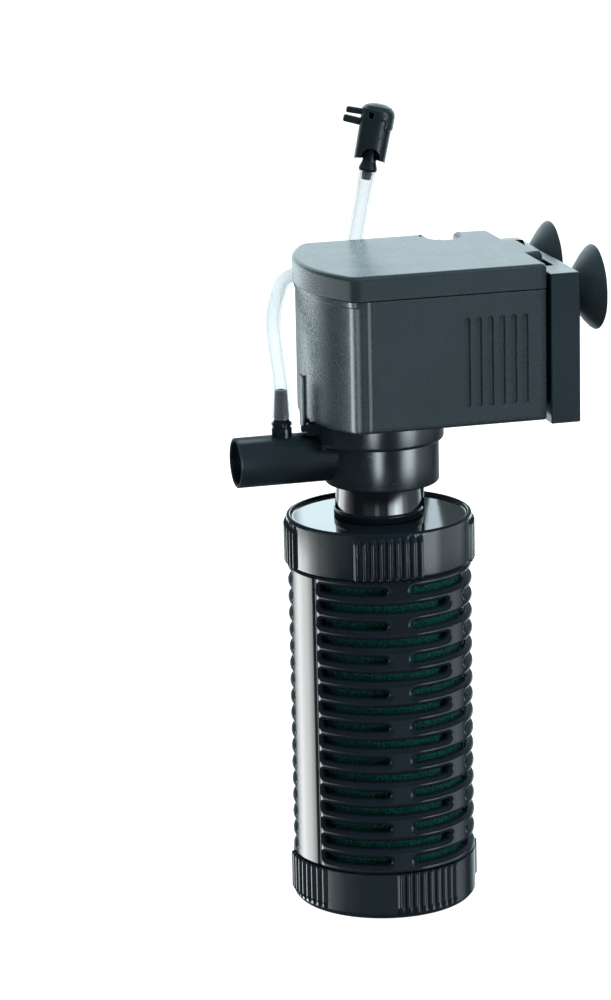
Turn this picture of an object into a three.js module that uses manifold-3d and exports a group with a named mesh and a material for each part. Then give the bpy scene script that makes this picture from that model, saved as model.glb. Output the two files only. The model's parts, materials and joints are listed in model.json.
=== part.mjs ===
// Internal power filter for an aquarium.
//
// A sealed motor head stands on a slotted sponge canister. Water is drawn in through the
// slots and the sponge, up the intake neck, through the impeller and out of the outlet pipe.
// An air nipple on the outlet pipe takes a clear hose that ends in an air-regulating valve.
//
// Frame: millimetres, +Z up, origin at the centre of the canister's base, canister and rotor
// axis on Z, outlet pipe towards -X, bracket and suction cups towards +X.

import * as THREE from 'three';
import { mergeVertices } from 'three/addons/utils/BufferGeometryUtils.js';
import Module from 'manifold-3d';

const wasm = await Module();
wasm.setup();

// ------------------------------------------------------------------ driving dimensions
const GAP = 0.3;                    // clearance between neighbouring pieces
const SEAM = 0.2;                   // visible seam between stacked pieces

// canister
const R_CAP = 30;                   // smooth outside radius of both caps
const R_RIB = 31;                   // radius over the grip ribs
const R_BODY = 29.9;                // strainer outside radius
const BODY_WALL = 2.6;
const Z_BOT = 15.5;                 // rim of the bottom cap
const Z_TOP = 114.05;               // lower rim of the top cap
const Z_CAP = 129.4;                // upper rim of the top cap
const CAP_WALL = 1.8;
const RIB_PITCH = 5;                // degrees
const RIBS = 9;                     // ribs in each of four groups
const SPIGOT_R = 27.7;              // strainer end spigots, inside the caps
const SPIGOT_RI = 25.9;
const LUG_HALF = 6;                 // half width of a bayonet lug, degrees
const TWIST = 30;                   // bayonet travel, degrees
const ROW_Z = 109.97;               // highest slot row
const ROW_PITCH = 5.645;
const ROWS = 17;
const SLOT_H = 2.5;

// intake neck and pump cover
const NECK_R = 13.7;
const NECK_RI = 12.2;
const COVER_R = 18.5;
const VOLUTE_X = 1.3;               // the pump chamber sits off the rotor axis
const Z_COVER = 139.9;              // underside of the pump cover
const Z_COLLAR = 153.7;             // underside of the housing collar
const COLLAR_R = 21.4;
const PIPE_Z = 149.4;               // outlet pipe axis
const PIPE_R = 8.1;                 // 16 mm outlet
const PIPE_RI = 7.0;
const PIPE_X = -47.3;               // outlet mouth
const NIPPLE_X = -31.8;

// motor head
const Z_HEAD = 162.6;               // underside of the motor housing
const Z_LID = 205.2;                // underside of the lid
const Z_LIDTOP = 213.15;
const HEAD_Y = 31.5;                // half width of the head
const HEAD_BACK = 47.4;
const HEAD_NOSE = -24.5;
const LID_NOSE = -25.4;
const NOSE_R = 55.9;
const CORNER_R = 5;
const WALL = 2.2;

// bracket
const BR_X0 = 48.6, BR_X1 = 58.4;
const BR_Z0 = 161.3, BR_Z1 = 209.8;
const RAIL_NECK = 9.7;              // half width of the rail's neck
const RAIL_HEAD = 14;               // half width of the rail's head
const TONGUE_Y = 11.8;              // half width of the lid's tongue over the rail
const OPEN_X1 = 54.2, OPEN_Y = 17.8; // opening in the top of the bracket
const CUP_Y = 21.7, CUP_Z = 202.7, CUP_R = 13.6, CUP_X = 66.3;

// air line
const HOSE_R = 2.7, HOSE_RI = 2.0;
const WINDOW_TURN = -39;            // degrees from -Y to the air window of the cap
const VALVE_TILT = 11.5;            // degrees, leaning towards +X
const VALVE_AT = [9.3, 35.2, 239.8];// centre of the valve cap's lower rim

// ------------------------------------------------------------------ helpers
const rad = (d) => (d * Math.PI) / 180;

function toSolid(geometry) {
  let g = geometry.clone();
  g.deleteAttribute('normal');
  g.deleteAttribute('uv');
  g = mergeVertices(g, 1e-4);
  const p = g.attributes.position.array;
  const tris = [];
  let volume = 0;
  for (let i = 0; i < g.index.count; i += 3) {
    const a = g.index.array[i], b = g.index.array[i + 1], c = g.index.array[i + 2];
    if (a === b || b === c || a === c) continue;
    tris.push(a, b, c);
    const [ax, ay, az, bx, by, bz, cx, cy, cz] = [a, b, c].flatMap((k) => [p[3 * k], p[3 * k + 1], p[3 * k + 2]]);
    volume += ax * (by * cz - bz * cy) + ay * (bz * cx - bx * cz) + az * (bx * cy - by * cx);
  }
  if (volume < 0) for (let i = 0; i < tris.length; i += 3) [tris[i], tris[i + 1]] = [tris[i + 1], tris[i]];
  return new wasm.Manifold(new wasm.Mesh({
    numProp: 3, vertProperties: Float32Array.from(p), triVerts: Uint32Array.from(tris),
  }));
}

function fromSolid(solid) {
  const m = solid.getMesh();
  const g = new THREE.BufferGeometry();
  g.setAttribute('position', new THREE.BufferAttribute(Float32Array.from(m.vertProperties), 3));
  g.setIndex(new THREE.BufferAttribute(Uint32Array.from(m.triVerts), 1));
  g.computeVertexNormals();
  return g;
}

const joined = (...list) => list.reduce((a, b) => a.add(b));
const cut = (base, ...list) => list.reduce((a, b) => a.subtract(b), base);

// profile of [radius, height] pairs turned about Z
function turned(profile, segments = 36) {
  const g = new THREE.LatheGeometry(profile.map(([r, z]) => new THREE.Vector2(r, z)), segments);
  g.rotateX(Math.PI / 2);
  return g;
}
const lathe = (profile, segments) => toSolid(turned(profile, segments));
const tube = (ro, ri, z0, z1, segments) => lathe([[ri, z0], [ro, z0], [ro, z1], [ri, z1], [ri, z0]], segments);
const rod = (r, z0, z1, segments) => lathe([[0, z0], [r, z0], [r, z1], [0, z1]], segments);

function extruded(points, z0, z1, holes = []) {
  const shape = new THREE.Shape(points.map(([x, y]) => new THREE.Vector2(x, y)));
  for (const h of holes) shape.holes.push(new THREE.Path(h.map(([x, y]) => new THREE.Vector2(x, y))));
  const g = new THREE.ExtrudeGeometry(shape, { depth: z1 - z0, bevelEnabled: false });
  g.translate(0, 0, z0);
  return g;
}
const prism = (points, z0, z1, holes) => toSolid(extruded(points, z0, z1, holes));

function block(x0, x1, y0, y1, z0, z1) {
  const g = new THREE.BoxGeometry(x1 - x0, y1 - y0, z1 - z0);
  g.translate((x0 + x1) / 2, (y0 + y1) / 2, (z0 + z1) / 2);
  return toSolid(g);
}

function arc(cx, cy, r, a0, a1, n) {
  const out = [];
  for (let i = 0; i <= n; i++) {
    const a = rad(a0 + ((a1 - a0) * i) / n);
    out.push([cx + r * Math.cos(a), cy + r * Math.sin(a)]);
  }
  return out;
}

// sector of a ring between two angles, degrees
function sector(r0, r1, a0, a1, z0, z1, step = 5) {
  const n = Math.max(1, Math.round((a1 - a0) / step));
  return prism([...arc(0, 0, r1, a0, a1, n), ...arc(0, 0, r0, a1, a0, n)], z0, z1);
}

// solid cylinder along X
function rodX(r, x0, x1, y, z, segments = 28) {
  const g = turned([[0, x0], [r, x0], [r, x1], [0, x1]], segments);
  g.rotateY(Math.PI / 2);
  g.translate(0, y, z);
  return toSolid(g);
}

// circle swept along a curve
function swept(curve, r, steps, sides) {
  const shape = new THREE.Shape(arc(0, 0, r, 0, 360, sides).slice(0, -1).map(([x, y]) => new THREE.Vector2(x, y)));
  return toSolid(new THREE.ExtrudeGeometry(shape, { steps, extrudePath: curve, bevelEnabled: false }));
}

// plan outline of the motor head: bowed nose, straight sides, square back
function headOutline(nose, half, back, r = NOSE_R, corner = CORNER_R, rearCorner = 1.2, nNose = 18) {
  const cx = nose + r;
  const fx = cx - Math.sqrt((r - corner) ** 2 - (half - corner) ** 2);
  const fy = half - corner;
  const a = (Math.atan2(fy, fx - cx) * 180) / Math.PI;
  return [
    ...arc(back - rearCorner, -half + rearCorner, rearCorner, -90, 0, 3),
    ...arc(back - rearCorner, half - rearCorner, rearCorner, 0, 90, 3),
    ...arc(fx, fy, corner, 90, a, 4),
    ...arc(cx, 0, r, a, 360 - a, nNose).slice(1, -1),
    ...arc(fx, -fy, corner, 360 - a, 270, 4),
  ];
}

// ------------------------------------------------------------------ materials
const mat = (color, roughness, metalness = 0, extra = {}) =>
  new THREE.MeshStandardMaterial({ color, roughness, metalness, ...extra });
const matteBlack = () => mat(0x2a3236, 0.62);
const satinBlack = () => mat(0x20282b, 0.42);
const glossBlack = () => mat(0x0d1013, 0.12);
const rubberBlack = () => mat(0x23292c, 0.8);
const clearHose = () => mat(0xe6eef0, 0.2, 0, { transparent: true, opacity: 0.4 });

const filter = new THREE.Group();
filter.name = 'internal_power_filter';
function piece(name, solid, material, parent = filter) {
  const mesh = new THREE.Mesh(fromSolid(solid), material);
  mesh.name = name;
  parent.add(mesh);
  return mesh;
}

// ------------------------------------------------------------------ canister
// outline of a cap with four groups of grip ribs centred on `first` + 90 k degrees
function ribOutline(first) {
  const pts = [];
  const half = ((RIBS - 1) / 2) * RIB_PITCH;
  for (let k = 0; k < 4; k++) {
    const c = first + 90 * k;
    for (let i = 0; i < RIBS; i++) {
      const a = c - half + i * RIB_PITCH;
      for (const [da, r] of [[-1.9, R_CAP - 0.5], [0, R_RIB], [1.9, R_CAP - 0.5]]) {
        pts.push([r * Math.cos(rad(a + da)), r * Math.sin(rad(a + da))]);
      }
    }
  }
  return pts;
}

// bayonet pockets in a cap wall: the lug's track, and the way in from the rim
function bayonet(zLug, zRim, lead) {
  const r0 = 27.9, r1 = 29.15;
  const out = [];
  for (let k = 0; k < 4; k++) {
    const c = 45 + 90 * k;
    const lo = lead > 0 ? c - LUG_HALF - 1 : c - LUG_HALF - 1 - TWIST;
    const hi = lead > 0 ? c + LUG_HALF + 1 + TWIST : c + LUG_HALF + 1;
    out.push(sector(r0, r1, lo, hi, zLug - 1.2, zLug + 1.2, 7));
    const e0 = lead > 0 ? hi - 2 * LUG_HALF - 2 : lo;
    out.push(sector(r0, r1, e0, e0 + 2 * LUG_HALF + 2, Math.min(zLug - 1.2, zRim), Math.max(zLug + 1.2, zRim), 7));
  }
  return out;
}
const lugs = (zLug) => [0, 1, 2, 3].map((k) =>
  sector(SPIGOT_R - 0.8, 28.9, 45 + 90 * k - LUG_HALF, 45 + 90 * k + LUG_HALF, zLug - 0.9, zLug + 0.9, 6));

const Z_LUG_LOW = 11.8, Z_LUG_HIGH = 117.8;
const capSeg = 40;
{
  // bottom cap: a cup with a rounded base edge
  const shell = lathe([[0, 0], [28.6, 0], [29.3, 0.35], [29.8, 0.9], [30, 1.7], [R_CAP, Z_BOT - 0.4],
    [R_CAP - 0.4, Z_BOT], [0, Z_BOT]], capSeg);
  const ribs = prism(ribOutline(-76.5), 2.6, Z_BOT - 0.6);
  const inside = rod(R_CAP - CAP_WALL, 2.2, Z_BOT + 1, capSeg);
  piece('bottom_cap', cut(joined(shell, ribs), inside, ...bayonet(Z_LUG_LOW, Z_BOT + 1, -1)), glossBlack());
}
{
  // top cap: an inverted cup with a sunk top plate and a hole for the intake neck
  const shell = lathe([[0, Z_TOP], [R_CAP - 0.4, Z_TOP], [R_CAP, Z_TOP + 0.4], [R_CAP, Z_CAP - 1.1],
    [R_CAP - 0.35, Z_CAP - 0.3], [R_CAP - 1, Z_CAP], [28.8, Z_CAP - 0.15], [28.3, Z_CAP - 1], [0, Z_CAP - 1]], capSeg);
  const ribs = prism(ribOutline(-100), Z_TOP + 0.3, Z_CAP - 2);
  const inside = rod(R_CAP - CAP_WALL, Z_TOP - 1, Z_CAP - 3, capSeg);
  const hole = rod(12.6, Z_CAP - 5, Z_CAP + 1, 40);
  piece('top_cap', cut(joined(shell, ribs), inside, hole, ...bayonet(Z_LUG_HIGH, Z_TOP - 1, 1)), glossBlack());
}
{
  // strainer: slotted tube with a plain strip down each side, spigots and bayonet lugs at both ends
  const z0 = Z_BOT + SEAM, z1 = Z_TOP - SEAM;
  const wall = lathe([[R_BODY - BODY_WALL, z0], [R_BODY, z0], [R_BODY, z1], [R_BODY - BODY_WALL, z1],
    [R_BODY - BODY_WALL, z0]], 28);
  const low = tube(SPIGOT_R, SPIGOT_RI, 8.5, z0 + 1.6, 28);
  const high = tube(SPIGOT_R, SPIGOT_RI, z1 - 1.6, 121, 28);
  let body = joined(wall, low, high, ...lugs(Z_LUG_LOW), ...lugs(Z_LUG_HIGH));
  const spans = [[[-148, -102], [-86, 1.5]], [[-148, -58.5], [-41, 1.5]]];
  for (let i = 0; i < ROWS; i++) {
    const z = ROW_Z - i * ROW_PITCH;
    for (const [a0, a1] of spans[i % 2]) {
      for (const turn of [0, 180]) {
        body = body.subtract(sector(24, 33, a0 + turn, a1 + turn, z - SLOT_H / 2, z + SLOT_H / 2, 20));
      }
    }
  }
  piece('strainer_body', body, glossBlack());
}
piece('filter_sponge', lathe([[9.4, 4], [24.6, 4], [25.4, 5], [25.4, 117], [24.6, 118], [9.4, 118], [9.4, 4]], 32),
  mat(0x1d4a44, 0.95));
{
  // perforated core tube: keeps the sponge open under suction
  const wall = tube(8.8, 7.6, 3, 121, 20);
  const windows = [];
  for (let i = 0; i < 4; i++) {
    windows.push(block(-12, 12, -2, 2, 12 + 26 * i, 32 + 26 * i), block(-2, 2, -12, 12, 12 + 26 * i, 32 + 26 * i));
  }
  piece('sponge_core', cut(wall, ...windows), satinBlack());
}
{
  // intake neck: foot ring on the top plate, spigot through it, socket for the pump inlet, one side rib
  const z0 = Z_CAP - 1 + SEAM;
  const neck = lathe([[10.4, 122.5], [12.3, 122.5], [12.3, z0], [14.3, z0], [14.3, z0 + 3.2], [13.9, z0 + 3.6],
    [NECK_R, z0 + 3.7], [NECK_R, Z_COVER - SEAM], [NECK_RI, Z_COVER - SEAM], [NECK_RI, 130.2], [10.4, 129.4],
    [10.4, 122.5]], 36);
  const ribAngle = -14;
  const rib = new THREE.BoxGeometry(2.2, 1.3, Z_COVER - SEAM - z0);
  rib.translate(NECK_R + 0.1, 0, (Z_COVER - SEAM + z0) / 2);
  rib.rotateZ(rad(ribAngle));
  piece('intake_neck', neck.add(toSolid(rib)), glossBlack());
}
// ring of octagonal section, a seal
const sealRing = (r, t, z, seg = 28) =>
  lathe([...arc(r, z, t, 30, 330, 5), arc(r, z, t, 30, 30, 1)[0]], seg);
piece('neck_o_ring', sealRing(11.55, 0.5, 135.2), rubberBlack());

// ------------------------------------------------------------------ pump cover
{
  // cup with the inlet spigot below, the socket spigot above and the outlet pipe at one side
  const wall = lathe([[0, Z_COVER], [COVER_R - 0.5, Z_COVER], [COVER_R, Z_COVER + 0.5], [COVER_R, Z_COLLAR],
    [0, Z_COLLAR]], 40).translate([VOLUTE_X, 0, 0]);
  const spigot = lathe([[0, Z_COVER + 1], [16.9, Z_COVER + 1], [16.9, 158.9], [15.9, 158.9], [15.9, 160.7], [16.9, 160.7], [16.9, 161.9], [0, 161.9]], 40);
  const inlet = lathe([[0, 131], [11.9, 131], [11.9, 134.4], [10.85, 134.4], [10.85, 136], [11.9, 136],
    [11.9, 142], [0, 142]], 32);
  const pipe = rodX(PIPE_R, PIPE_X, -10, 0, PIPE_Z, 32);
  const pad = new THREE.CylinderGeometry(3.4, 3.4, 6, 16);
  pad.rotateX(Math.PI / 2);
  pad.translate(NIPPLE_X, 0, PIPE_Z + PIPE_R + 0.2 - 3);
  const chamber = lathe([[0, 142.3], [14.9, 142.3], [14.9, 163], [0, 163]], 32);
  const volute = lathe([[0, 142.3], [16.4, 142.3], [16.4, 152.6], [0, 152.6]], 32).translate([VOLUTE_X, 0, 0]);
  const bore = rodX(PIPE_RI, PIPE_X - 1, -8, 0, PIPE_Z, 24);
  const inletBore = lathe([[0, 130], [10, 130], [10, 143], [0, 143]], 28);
  const nippleHole = new THREE.CylinderGeometry(2.1, 2.1, 9, 14);
  nippleHole.rotateX(Math.PI / 2);
  nippleHole.translate(NIPPLE_X, 0, PIPE_Z + PIPE_R);
  let cover = cut(joined(wall, spigot, inlet, pipe, toSolid(pad)), chamber, volute, bore, inletBore, toSolid(nippleHole));
  // three-armed spider in the inlet, with a socket for the lower bush
  const hub = cut(rod(4.6, 132.4, 138.4, 16), rod(3.3, 134, 139, 16));
  const arms = [0, 120, 240].map((a) => {
    const g = new THREE.BoxGeometry(7, 1.8, 4);
    g.translate(7.4, 0, 134.4);
    g.rotateZ(rad(a));
    return toSolid(g);
  });
  cover = joined(cover, hub, ...arms);
  piece('pump_cover', cover, satinBlack());
}
piece('lower_shaft_bush', tube(3.0, 1.4, 134.3, 138.3, 20), rubberBlack());
piece('cover_o_ring', sealRing(16.6, 0.45, 159.8), rubberBlack());
{
  // air nipple: stem through the pipe wall, grooved base ring, tapered hose barb, clear bore
  const z = PIPE_Z + PIPE_R + 0.4;
  const g = turned([[1.1, 154.6], [1.8, 154.6], [1.8, z], [3.3, z], [3.3, z + 1.3], [2.9, z + 1.5], [2.9, z + 1.8],
    [3.3, z + 2], [3.3, z + 3.3], [2.9, z + 3.6], [2.5, z + 4.4], [1.95, 172.2], [1.1, 172.2], [1.1, 154.6]], 18);
  g.translate(NIPPLE_X, 0, 0);
  piece('air_nipple', toSolid(g), glossBlack());
}

// ------------------------------------------------------------------ air line
const lean = rad(VALVE_TILT);
const along = (t) => [VALVE_AT[0] + Math.sin(lean) * t, VALVE_AT[1], VALVE_AT[2] + Math.cos(lean) * t];
const hosePoints = [
  [NIPPLE_X, 0, 163.0], [NIPPLE_X, 0, 168], [NIPPLE_X, 0, 172.6], [-32.3, 1.2, 180], [-32.4, 4.6, 188], [-31.0, 10.6, 194.2],
  [-27.6, 18.6, 198.6], [-21.9, 29.8, 201.8], [-13.6, 35.4, 202.8], [-6.0, 35.6, 203.0], [0.2, 35.4, 206.2],
  [3.3, 35.25, 211.0], along(-22), along(-16), along(-11), along(-5.5),
].map((p) => new THREE.Vector3(...p));
const hosePath = (list) => new THREE.CatmullRomCurve3(list, false, 'centripetal');
{
  const body = swept(hosePath(hosePoints), HOSE_R, 30, 10);
  const first = hosePoints[0].clone().add(new THREE.Vector3(0, 0, -3));
  const last = new THREE.Vector3(...along(1));
  const bore = swept(hosePath([first, ...hosePoints, last]), HOSE_RI, 32, 8);
  const flare = turned([[0, 162.9], [3.25, 162.9], [2.75, 172], [0, 174]], 16);
  flare.translate(NIPPLE_X, 0, 0);
  const seat = turned([[0, 162], [2.85, 162], [2.85, 163], [2.25, 172.6], [0, 174.5]], 12);
  seat.translate(NIPPLE_X, 0, 0);
  piece('air_hose', cut(joined(body, toSolid(flare)), bore, toSolid(seat)), clearHose());
}
{
  // air valve: everything is turned about the local Z axis of a leaning group
  const valve = new THREE.Group();
  valve.position.set(...VALVE_AT);
  valve.rotation.y = lean;
  filter.add(valve);

  // barbed connector; its hollow stem has a side port under the cap
  const stem = lathe([[1.0, -8.2], [1.5, -8.2], [1.62, -5.3], [2.9, -5.3], [3.05, -4.6], [2.2, -1.6], [2.1, 2.4], [4.55, 2.9],
    [4.55, 14.4], [3.3, 14.4], [3.3, 4.2], [1.0, 3.2], [1.0, -8.2]], 20);
  const towards = (g, a) => g.rotate([0, 0, a]);         // turns a cutter from -Y round the valve's axis
  const port = towards(block(-0.9, 0.9, -6, 0, 12.0, 13.8), WINDOW_TURN);
  piece('air_valve_stem', stem.subtract(port), satinBlack(), valve);

  // cap: a domed sleeve with a deeper skirt on the +X side, an air window, an arched opening in its
  // lower front and two clip prongs
  const sleeve = lathe([[4.85, -1.9], [5.15, -1.65], [5.3, 11.9], [5.75, 12.3], [5.75, 13.5], [5.4, 14.7], [4.5, 15.8], [3, 16.55],
    [1.5, 16.85], [0, 16.9], [0, 14.9], [4.85, 14.9], [4.85, -1.9]], 24);
  const skirt = lathe([[5.0, 9.4], [5.75, 9.4], [5.75, 12.7], [5.0, 12.7], [5.0, 9.4]], 24).intersect(block(1.5, 7, -7, 7, 9, 13));
  const window_ = towards(block(-0.85, 0.85, -7, -3, 12.1, 14.3), WINDOW_TURN);
  const archPlan = arc(0, -0.7, 3.2, 0, 360, 16).slice(0, -1);
  const arch = toSolid(extruded(archPlan, 3.5, 7).rotateX(Math.PI / 2)).rotate([0, 0, -15]);
  const prongs = [[10.0, 2.2, -11.0], [13.4, 1.9, -10.5]].map(([z, h, tip]) => {
    const g = new THREE.BoxGeometry(-4.9 - tip, 2.2, h);
    g.translate((tip - 4.9) / 2, 0, z);
    g.rotateZ(rad(-32));
    return toSolid(g);
  });
  piece('air_valve_cap', cut(joined(sleeve, skirt, ...prongs.map((p) => p.subtract(rod(5.0, 0, 16, 24)))), window_, arch), satinBlack(), valve);
}

// ------------------------------------------------------------------ motor head
const backOut = HEAD_BACK;
{
  const z1 = Z_LID - SEAM;
  const sideY = HEAD_Y - 0.6;
  const shell = prism(headOutline(HEAD_NOSE, sideY, backOut), Z_HEAD, z1);
  const lip = prism(headOutline(HEAD_NOSE - 0.4, sideY, backOut - 1), z1 - 1.7, z1);
  // side panels stand proud of the nose, with a rounded front edge
  const panel = (s) => {
    const pts = [[-11.2, sideY - 1], [-11.2, sideY], [-10.9, sideY + 0.35], [-10.2, HEAD_Y], [backOut - 0.6, HEAD_Y],
      [backOut - 0.2, HEAD_Y - 0.3], [backOut - 0.2, sideY - 1]];
    return prism(s > 0 ? pts.slice().reverse() : pts.map(([x, y]) => [x, -y]), Z_HEAD + 0.4, z1);
  };
  // T-shaped rail on the back for the bracket
  const rail = joined(
    block(backOut - 1, 50.9, -RAIL_NECK, RAIL_NECK, Z_HEAD + 1, z1),
    block(50.7, 53, -RAIL_HEAD, RAIL_HEAD, Z_HEAD + 1, z1));
  const inside = prism(headOutline(HEAD_NOSE + WALL, sideY - WALL, backOut - WALL, NOSE_R - WALL, CORNER_R - WALL, 0.8), Z_HEAD + 2.4, z1 + 1);
  let body = joined(shell, lip, panel(1), panel(-1), rail);
  // six blind cooling grooves on each side
  const groove = (x, s) => {
    const w = 0.78, za = 169.7, zb = 196.8;
    const outline = [...arc(x, zb, w, 0, 180, 4), ...arc(x, za, w, 180, 360, 4)];
    const g = extruded(outline, 0, 2);
    g.rotateX(Math.PI / 2);                     // (x, z) outline, thickness along -Y
    g.translate(0, s > 0 ? HEAD_Y + 1 : -HEAD_Y + 1, 0);
    return toSolid(g);
  };
  const grooves = [];
  for (let i = 0; i < 6; i++) for (const s of [-1, 1]) grooves.push(groove(21 + 3.83 * i, s));
  const well = lathe([[0, Z_HEAD], [13.1, Z_HEAD], [12.4, Z_HEAD + 3], [12.4, 197], [0, 197]], 32);
  const wellBore = lathe([[0, Z_HEAD - 1], [11.2, Z_HEAD - 1], [11.2, 191], [3.8, 191], [3.8, 195], [0, 195]], 32);
  body = cut(joined(cut(body, inside, ...grooves), well), wellBore);
  piece('motor_housing', body, matteBlack());
}
{
  // lid: overhangs the nose, rounded top edge, cable notch at the far side, tongue over the rail
  const layers = [[0, Z_LID, 211.55], [0.35, 211.55, 212.3], [0.9, 212.3, 212.85], [1.6, 212.85, Z_LIDTOP]];
  const lidSolid = (inset, z0, z1) => prism(headOutline(LID_NOSE + inset, HEAD_Y - inset, backOut + 0.4 - inset, NOSE_R,
    CORNER_R, 1.2 + 0.2 * inset), z0, z1);
  let lid = layers.map(([d, a, b]) => lidSolid(d, a, b)).reduce((a, b) => a.add(b));
  const tongueTop = joined(
    block(backOut - 2, 52.6, -TONGUE_Y, TONGUE_Y, BR_Z1 + 0.35, 212.5),
    block(backOut - 2, 52.1, 0.5 - TONGUE_Y, TONGUE_Y - 0.5, 212.4, Z_LIDTOP));
  const tongueLow = joined(
    block(backOut - 2, 50.9, -RAIL_NECK, RAIL_NECK, Z_LID, BR_Z1 + 1),
    block(50.7, 52.6, -TONGUE_Y, TONGUE_Y, Z_LID, BR_Z1 + 1));
  lid = joined(lid, tongueTop, tongueLow);
  const notchShape = (d) => [[25.9 - d, 40], ...arc(30.8, 25.1, 4.9 + d, 180, 360, 8), [35.7 + d, 40]];
  const hollow = prism(headOutline(LID_NOSE + WALL + 0.4, HEAD_Y - WALL, backOut - WALL, NOSE_R - WALL, CORNER_R - WALL, 0.8), Z_LID - 1, 210.9);
  const keep = prism(notchShape(1.8), Z_LID - 2, 214);
  lid = cut(lid, hollow.subtract(keep), prism(notchShape(0), Z_LID - 2, 214));
  piece('motor_lid', lid, matteBlack());
}
{
  // collar under the housing, notched where the outlet pipe passes
  const ring = lathe([[17.3, Z_COLLAR + SEAM], [COLLAR_R - 0.9, Z_COLLAR + SEAM], [COLLAR_R, Z_COLLAR + 1.1],
    [COLLAR_R, Z_HEAD - SEAM], [17.3, Z_HEAD - SEAM], [17.3, Z_COLLAR + SEAM]], 40);
  piece('housing_collar', ring.subtract(rodX(PIPE_R + 0.5, -30, -8, 0, PIPE_Z, 28)), satinBlack());
}
{
  // U-shaped stator core round the rotor well
  const outline = [[-9, -20], [39.5, -20], [39.5, 20], [-9, 20], [-9, 12.8], [32.5, 12.8], [32.5, -12.8], [-9, -12.8]];
  const legs = prism(outline, 171, 187);
  const poles = joined(block(-9, 9, 9, 14, 171, 187), block(-9, 9, -14, -9, 171, 187));
  piece('stator_core', cut(joined(legs, poles), rod(12.8, 160, 200, 32)), mat(0x8b8f92, 0.45, 0.8));
  // coil former on the yoke, and its winding
  const former = joined(block(31.2, 40.8, -11.6, 11.6, 169.7, 188.3), block(27.6, 44.3, -12.4, -11.3, 166.2, 191.8),
    block(27.6, 44.3, 11.3, 12.4, 166.2, 191.8));
  piece('coil_bobbin', former.subtract(block(32.2, 39.8, -14, 14, 170.7, 187.3)), mat(0xd9d4c4, 0.5));
  piece('coil_winding', block(28, 43.9, -11, 11, 166.6, 191.4).subtract(block(30.9, 41.1, -14, 14, 169.4, 188.6)),
    mat(0xb06a3a, 0.35, 0.8));
}
piece('potting_resin', prism(headOutline(HEAD_NOSE + WALL + 0.4, HEAD_Y - 0.6 - WALL - 0.4, backOut - WALL - 0.4,
  NOSE_R - WALL, CORNER_R - WALL, 0.8, 12), 199, 204.6), mat(0x15181a, 0.4));
{
  // strain relief in the lid notch, and the start of the power cable, which leaves at the far side
  const zc = 208.1, xc = 30.8;
  const g = turned([[2.4, 23], [2.85, 23], [2.85, 27], [2.6, 28], [2.6, 30], [2.85, 30.6], [2.85, 31.4], [2.6, 31.8], [2.4, 31.8], [2.4, 23]], 16);
  g.rotateX(-Math.PI / 2);
  g.translate(xc, 0, zc);
  piece('cable_grommet', toSolid(g), rubberBlack());
  const path = new THREE.CatmullRomCurve3([[xc, 22.6, zc], [xc, 28, zc], [xc, 32.5, zc], [xc, 36.4, zc - 1.6], [xc, 38.4, zc - 6],
    [xc, 38.8, zc - 12], [xc, 38.8, zc - 24]].map((p) => new THREE.Vector3(...p)), false, 'centripetal');
  piece('power_cable', swept(path, 2.25, 16, 10), rubberBlack());
}

// ------------------------------------------------------------------ rotor
piece('upper_shaft_bush', tube(3.5, 1.4, 191.2, 194.8, 20), rubberBlack());
piece('rotor_shaft', rod(1.25, 134.6, 194.2, 16), mat(0xe8e6e0, 0.25));
piece('rotor_magnet', tube(10.2, 1.6, 169, 190.2, 32), mat(0x3a3a3e, 0.45, 0.2));
{
  const hub = lathe([[1.55, 143.6], [3.4, 143.6], [3.4, 151.5], [13.4, 151.5], [13.4, 152.8], [6, 152.8], [6, 168.7],
    [1.55, 168.7], [1.55, 143.6]], 24);
  const blades = [0, 60, 120, 180, 240, 300].map((a) => {
    const g = new THREE.BoxGeometry(10.4, 1.3, 8);
    g.translate(8.2, 0, 147.6);
    g.rotateZ(rad(a));
    return toSolid(g);
  });
  piece('impeller', joined(hub, ...blades), mat(0xf0f0ee, 0.4));
}

// ------------------------------------------------------------------ bracket and suction cups
{
  // channel that grips the rear rail; lips in front, plate at the back, closed top corners
  const outer = block(BR_X0, BR_X1, -HEAD_Y, HEAD_Y, BR_Z0, BR_Z1);
  const inner = block(BR_X0 + 1.8, BR_X1 - 1.8, -HEAD_Y + 2, HEAD_Y - 2, BR_Z0 - 1, BR_Z1 - 2);
  const mouth = block(BR_X0 - 1, BR_X0 + 2.5, -RAIL_NECK - GAP, RAIL_NECK + GAP, BR_Z0 - 1, BR_Z1 + 1);
  const r = 1.8, x0 = BR_X0 + 1.8;
  const slotPlan = [...arc(x0 + r, -OPEN_Y + r, r, 180, 270, 4), ...arc(OPEN_X1 - r, -OPEN_Y + r, r, 270, 360, 4),
    ...arc(OPEN_X1 - r, OPEN_Y - r, r, 0, 90, 4), ...arc(x0 + r, OPEN_Y - r, r, 90, 180, 4)];
  const slot = prism(slotPlan, BR_Z1 - 5, BR_Z1 + 1);
  let plate = cut(outer, inner, mouth, slot);
  for (const s of [-1, 1]) plate = plate.subtract(rodX(3.1, BR_X1 - 4, BR_X1 + 2, s * CUP_Y, CUP_Z, 24));
  piece('bracket', plate, satinBlack());
}
function suctionCup(name, y) {
  // button behind the plate, neck through it, and a thin bell with a hollow face
  const g = turned([[0, 53.6], [3.6, 53.6], [4.3, 54.3], [4.3, 55.6], [3.6, 56.3], [2.7, 56.3], [2.7, BR_X1 + 0.4], [5.4, BR_X1 + 0.4],
    [6.4, 59.6], [8.2, 61.2], [11.2, 63.4], [13.2, 65.4], [CUP_R, CUP_X], [12.9, CUP_X], [12.2, 65.4], [9.6, 63.9], [0, 62.2]], 24);
  g.rotateY(Math.PI / 2);
  g.translate(0, y, CUP_Z);
  piece(name, toSolid(g), rubberBlack());
}
suctionCup('suction_cup_near', -CUP_Y);
suctionCup('suction_cup_far', CUP_Y);

export default filter;
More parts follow.
